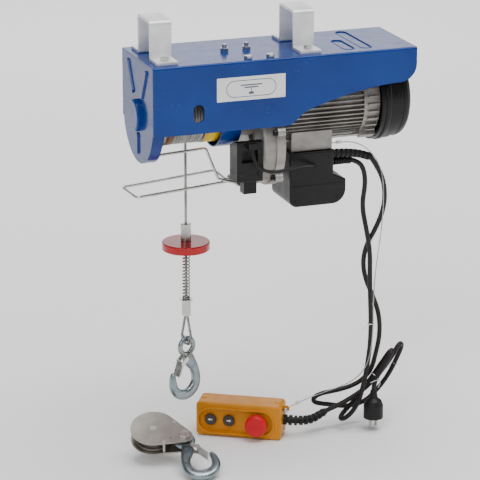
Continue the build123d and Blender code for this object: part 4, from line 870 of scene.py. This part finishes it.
def make_pendant_details():
    for name, place, flip, body in (("arrow_up", 27, 1, "button_up"), ("arrow_down", 62, -1, "button_down")):
        outline = [(u * flip * 0.8, v * 0.8) for u, v in (ARROW if flip > 0 else reversed(ARROW))]
        plate(name, pendant_plane(-2.0, place, BUTTON_Z), outline, 0.25, "white_plastic", body)
        origin, _, normal = pendant_plane(-5.0, place, BUTTON_Z)
        lathe(f"{name}_collar", origin, normal, [(0, 11.1), (0, 13.6), (1.6, 13.4), (2.2, 12.6), (1.6, 11.6),
              (0.6, 11.1)], "yellow_plastic", "frame", hollow=True)
        # A flush black ring round each button stands in for the shadow where the button sits in its hole:
        # painted shadow.
        lathe(f"{name}_painted_shadow_ring", origin, normal, [(0, 10.85), (0, 11.5), (1.0, 11.45), (1.0, 10.85)],
              "black_rubber", "frame", hollow=True)
    origin, _, normal = pendant_plane(-30, 167, 54)
    lathe("lug_screw", origin, normal, [(0, 2.6), (9, 2.6), (9, 4.6), (10.5, 4.8), (12.5, 4.4), (13.2, 2.4)],
          "zinc_plate", "frame", 32)
    for k, place in enumerate((10, 152)):
        lathe(f"shell_rib_{k}", pendant_plane(-26, place, 66)[0], along(0, 0, 1),
              [(-1.5, 6), (0.9, 5.6), (1.2, 4.6), (1.2, 0.5)], "yellow_plastic", "frame", 32)


def make_label():
    """A plain label with a generic hoist drawing."""
    front = (at(178.5, -88.0, 54), along(1, 0, 0), along(0, -1, 0))
    plate("front_label", front, rounded(126, 42, 1.0), 0.35, "label_white", "frame")
    over = (at(178.5, -88.35, 54), along(1, 0, 0), along(0, -1, 0))
    outer = rounded(92, 30, 14.9, steps=10)
    inner = rounded(89.6, 27.6, 13.7, steps=10)
    band_outline(over, "label_border", outer, inner, 0.1, "label_grey")
    for k, (u, wide) in enumerate(((0, 40), (0, 26))):
        v = 6 - 4.2 * k
        plate(f"label_beam_{k}", over, rounded(wide, 2.2, 0.8, (u, v)), 0.1, "label_grey", "frame")
    plate("label_rope", over, rounded(1.2, 8, 0.4, (0, -3.5)), 0.1, "label_grey", "frame")
    plate("label_load", over, rounded(9, 4, 1.0, (0, -8.5)), 0.1, "label_grey", "frame")


def band_outline(plane, name, outer, inner, thick, material):
    """A flat frame between two outlines with as many points."""
    origin, x_way, normal = plane
    y_way = normal.cross(x_way)
    count = len(outer)
    verts = []
    for out in (0, thick):
        for ring in (outer, inner):
            verts += [origin + (x_way * u + y_way * v + normal * out) * MM for u, v in ring]
    faces = []
    for k in range(count):
        nxt = (k + 1) % count
        faces.append((2 * count + k, 2 * count + nxt, 3 * count + nxt, 3 * count + k))
        faces.append((k, nxt, 2 * count + nxt, 2 * count + k))
        faces.append((count + nxt, count + k, 3 * count + k, 3 * count + nxt))
    return add_object(name, mesh_from(name, verts, faces, False), material, "frame")


def drum_band(name, x_from, x_to, start, end, radius, material, steps=48):
    """A thin sheet round part of the winding, riding on the drum."""
    verts = []
    faces = []
    for k in range(steps + 1):
        angle = math.radians(start + (end - start) * k / steps)
        for x in (x_from, x_to):
            for r in (radius, radius + 0.35):
                verts.append(at(x, r * math.cos(angle), r * math.sin(angle)))
    for k in range(steps):
        a, b = 4 * k, 4 * k + 4
        faces += [(a, a + 2, b + 2, b), (a + 1, b + 1, b + 3, a + 3)]
        faces += [(a, b, b + 1, a + 1), (a + 2, a + 3, b + 3, b + 2)]
    faces += [(0, 1, 3, 2), (4 * steps, 4 * steps + 2, 4 * steps + 3, 4 * steps + 1)]
    return add_object(name, mesh_from(name, verts, faces), material, "drum")


def make_drum_details():
    drum_band("winding_tape", 39, 50, -170, 150, 57.3, "brown_tape")
    drum_band("winding_label", 109, 146, -172, -78, 57.3, "label_yellow")
    points = []
    for k in range(200):
        angle = math.radians(27 + 297 * k / 199)
        points.append(at(ROPE_X - 3.0 * k / 199, TURN_R * math.cos(angle), TURN_R * math.sin(angle)))
    add_object("last_turn_strands", rope_mesh("last_turn_strands", points), "wire_steel", "drum")


TOP_Z = 102.0
TROUGH_HALF = 10.6
BEAD_R = 1.3 * MM


def slot_line(x, y_from, y_to, half, z):
    """Outline of an upright slot on the top plate, closed."""
    points = []
    for centre_y, start in ((y_to - half, 0), (y_from + half, 180)):
        for k in range(13):
            angle = math.radians(start + 180 * k / 12)
            points.append(at(x + half * math.cos(angle), centre_y + half * math.sin(angle), z))
    return points + points[:2]


def make_housing_details():
    """Soft beads round the pressed troughs and two rings on the fan cover."""
    for k, (x, low, high) in enumerate(((372, -66, 10), (405, -66, 72))):
        line = slot_line(x, low, high, TROUGH_HALF, TOP_Z - 0.5)
        tube(f"trough_bead_{k}", line, BEAD_R, "blue_paint", "frame", 10)
    x_way = along(1, 0, 0)
    ring = [(0, 79.6), (0, 81.2), (2.5, 81.9), (7, 81.9), (9, 81.0), (9, 79.6)]
    lathe("fan_cover_ring", at(438, 0, 0), x_way, ring, "black_plastic", "frame", 96, True)
    lip = [(0, 76.6), (0.4, 77.8), (2.6, 77.8), (3, 76.6)]
    lathe("fan_cover_lip", at(472, 0, 0), x_way, lip, "black_plastic", "frame", 96, True)


SCREW_HEAD = [(0, 3.0), (1.4, 2.9), (1.9, 2.2), (1.1, 0.5)]
LID_SCREW_HEAD = [(0, 3.2), (0.9, 3.1), (1.3, 2.4), (0.7, 0.5)]


def make_switch_details():
    """A round bush where the lead leaves the limit switch, and its three case screws."""
    bush = [(-1.5, 9.5), (1.5, 9.5), (2.2, 8.8), (2.2, 6.4), (8.5, 5.4), (9.5, 4.4), (9.5, 3.0)]
    lathe("switch_bush", at(180, -79.5, -53), along(0.1, -0.95, -0.25), bush, "black_rubber", "frame", 40)
    for k, (x, z) in enumerate(((163, -104), (195, -104), (195, -64))):
        lathe(f"switch_screw_{k}", at(x, -79.6, z), along(0, -1, 0), SCREW_HEAD, "black_steel", "frame", 24)


BOX_FRONT_Y = -60.0


def make_box_details():
    """Two moulded ridges and four lid screws on the control box."""
    x_way, out = along(1, 0, 0), along(0, -1, 0)
    plate("box_rib", (at(317, BOX_FRONT_Y, -142), x_way, out), rounded(98, 2.0, 0.9), 0.9, "black_plastic",
          "frame", 0.3)
    plate("box_lid_edge", (at(303, BOX_FRONT_Y, -84), x_way, out), rounded(80, 3.0, 1.0), 0.9,
          "black_plastic", "frame", 0.3)
    for k, (x, z) in enumerate(((270, -92), (337, -92), (272, -170), (352, -168))):
        lathe(f"box_screw_{k}", at(x, BOX_FRONT_Y + 0.4, z), out, LID_SCREW_HEAD, "black_steel", "frame", 24)


# Stage


def lamp_of(kind, name, place, target, power):
    data = bpy.data.lights.new(name, kind)
    data.energy = power
    lamp = bpy.data.objects.new(name, data)
    lamp.location = place
    lamp.rotation_euler = (Vector(target) - Vector(place)).to_track_quat("-Z", "Y").to_euler()
    lamp.visible_camera = False
    bpy.context.scene.collection.objects.link(lamp)
    return data


def make_stage():
    low = CAD_BOX[0].z - 0.0015
    reach = 14.0
    floor_mesh = mesh_from("floor", [(-reach, -reach, low), (reach, -reach, low), (reach, reach, low),
                                     (-reach, reach, low)], [(0, 1, 2, 3)], False)
    floor = bpy.data.objects.new("floor", floor_mesh)
    bpy.context.scene.collection.objects.link(floor)
    recipe = Recipe("floor")
    recipe.colour(recipe.mix(recipe.noise(2.0), (0.9, 0.9, 0.9), (0.93, 0.93, 0.93)))
    recipe.set(Roughness=0.8, Specular_IOR_Level=0.1)
    floor_mesh.materials.append(recipe.material)
    world = bpy.data.worlds.new("studio")
    world.use_nodes = True
    world.node_tree.nodes["Background"].inputs[0].default_value = (1, 1, 1, 1)
    world.node_tree.nodes["Background"].inputs[1].default_value = 0.2
    bpy.context.scene.world = world
    middle = (0, 0, -0.35)
    suns = (("top", (0.3, -0.6, 3.0), 3.3, 50), ("key", (-2.2, -2.4, 2.2), 0.7, 25))
    for name, place, power, spread in suns:
        lamp_of("SUN", name, place, middle, power).angle = math.radians(spread)
    areas = (("back", (0.9, 3.6, 1.5), 40, 3.0), ("side", (3.0, -1.0, 0.2), 10, 1.2),
             ("front", (-0.6, -3.2, 0.5), 6, 0.7))
    for name, place, power, size in areas:
        lamp_of("AREA", name, place, middle, power).size = size


MATERIALS = make_materials()
dress_nodes(MATERIALS)
make_camera()
make_cords()
make_ties()
make_ropes()
make_spring()
make_hooks()
make_pendant_details()
make_label()
make_drum_details()
make_housing_details()
make_switch_details()
make_box_details()
make_stage()
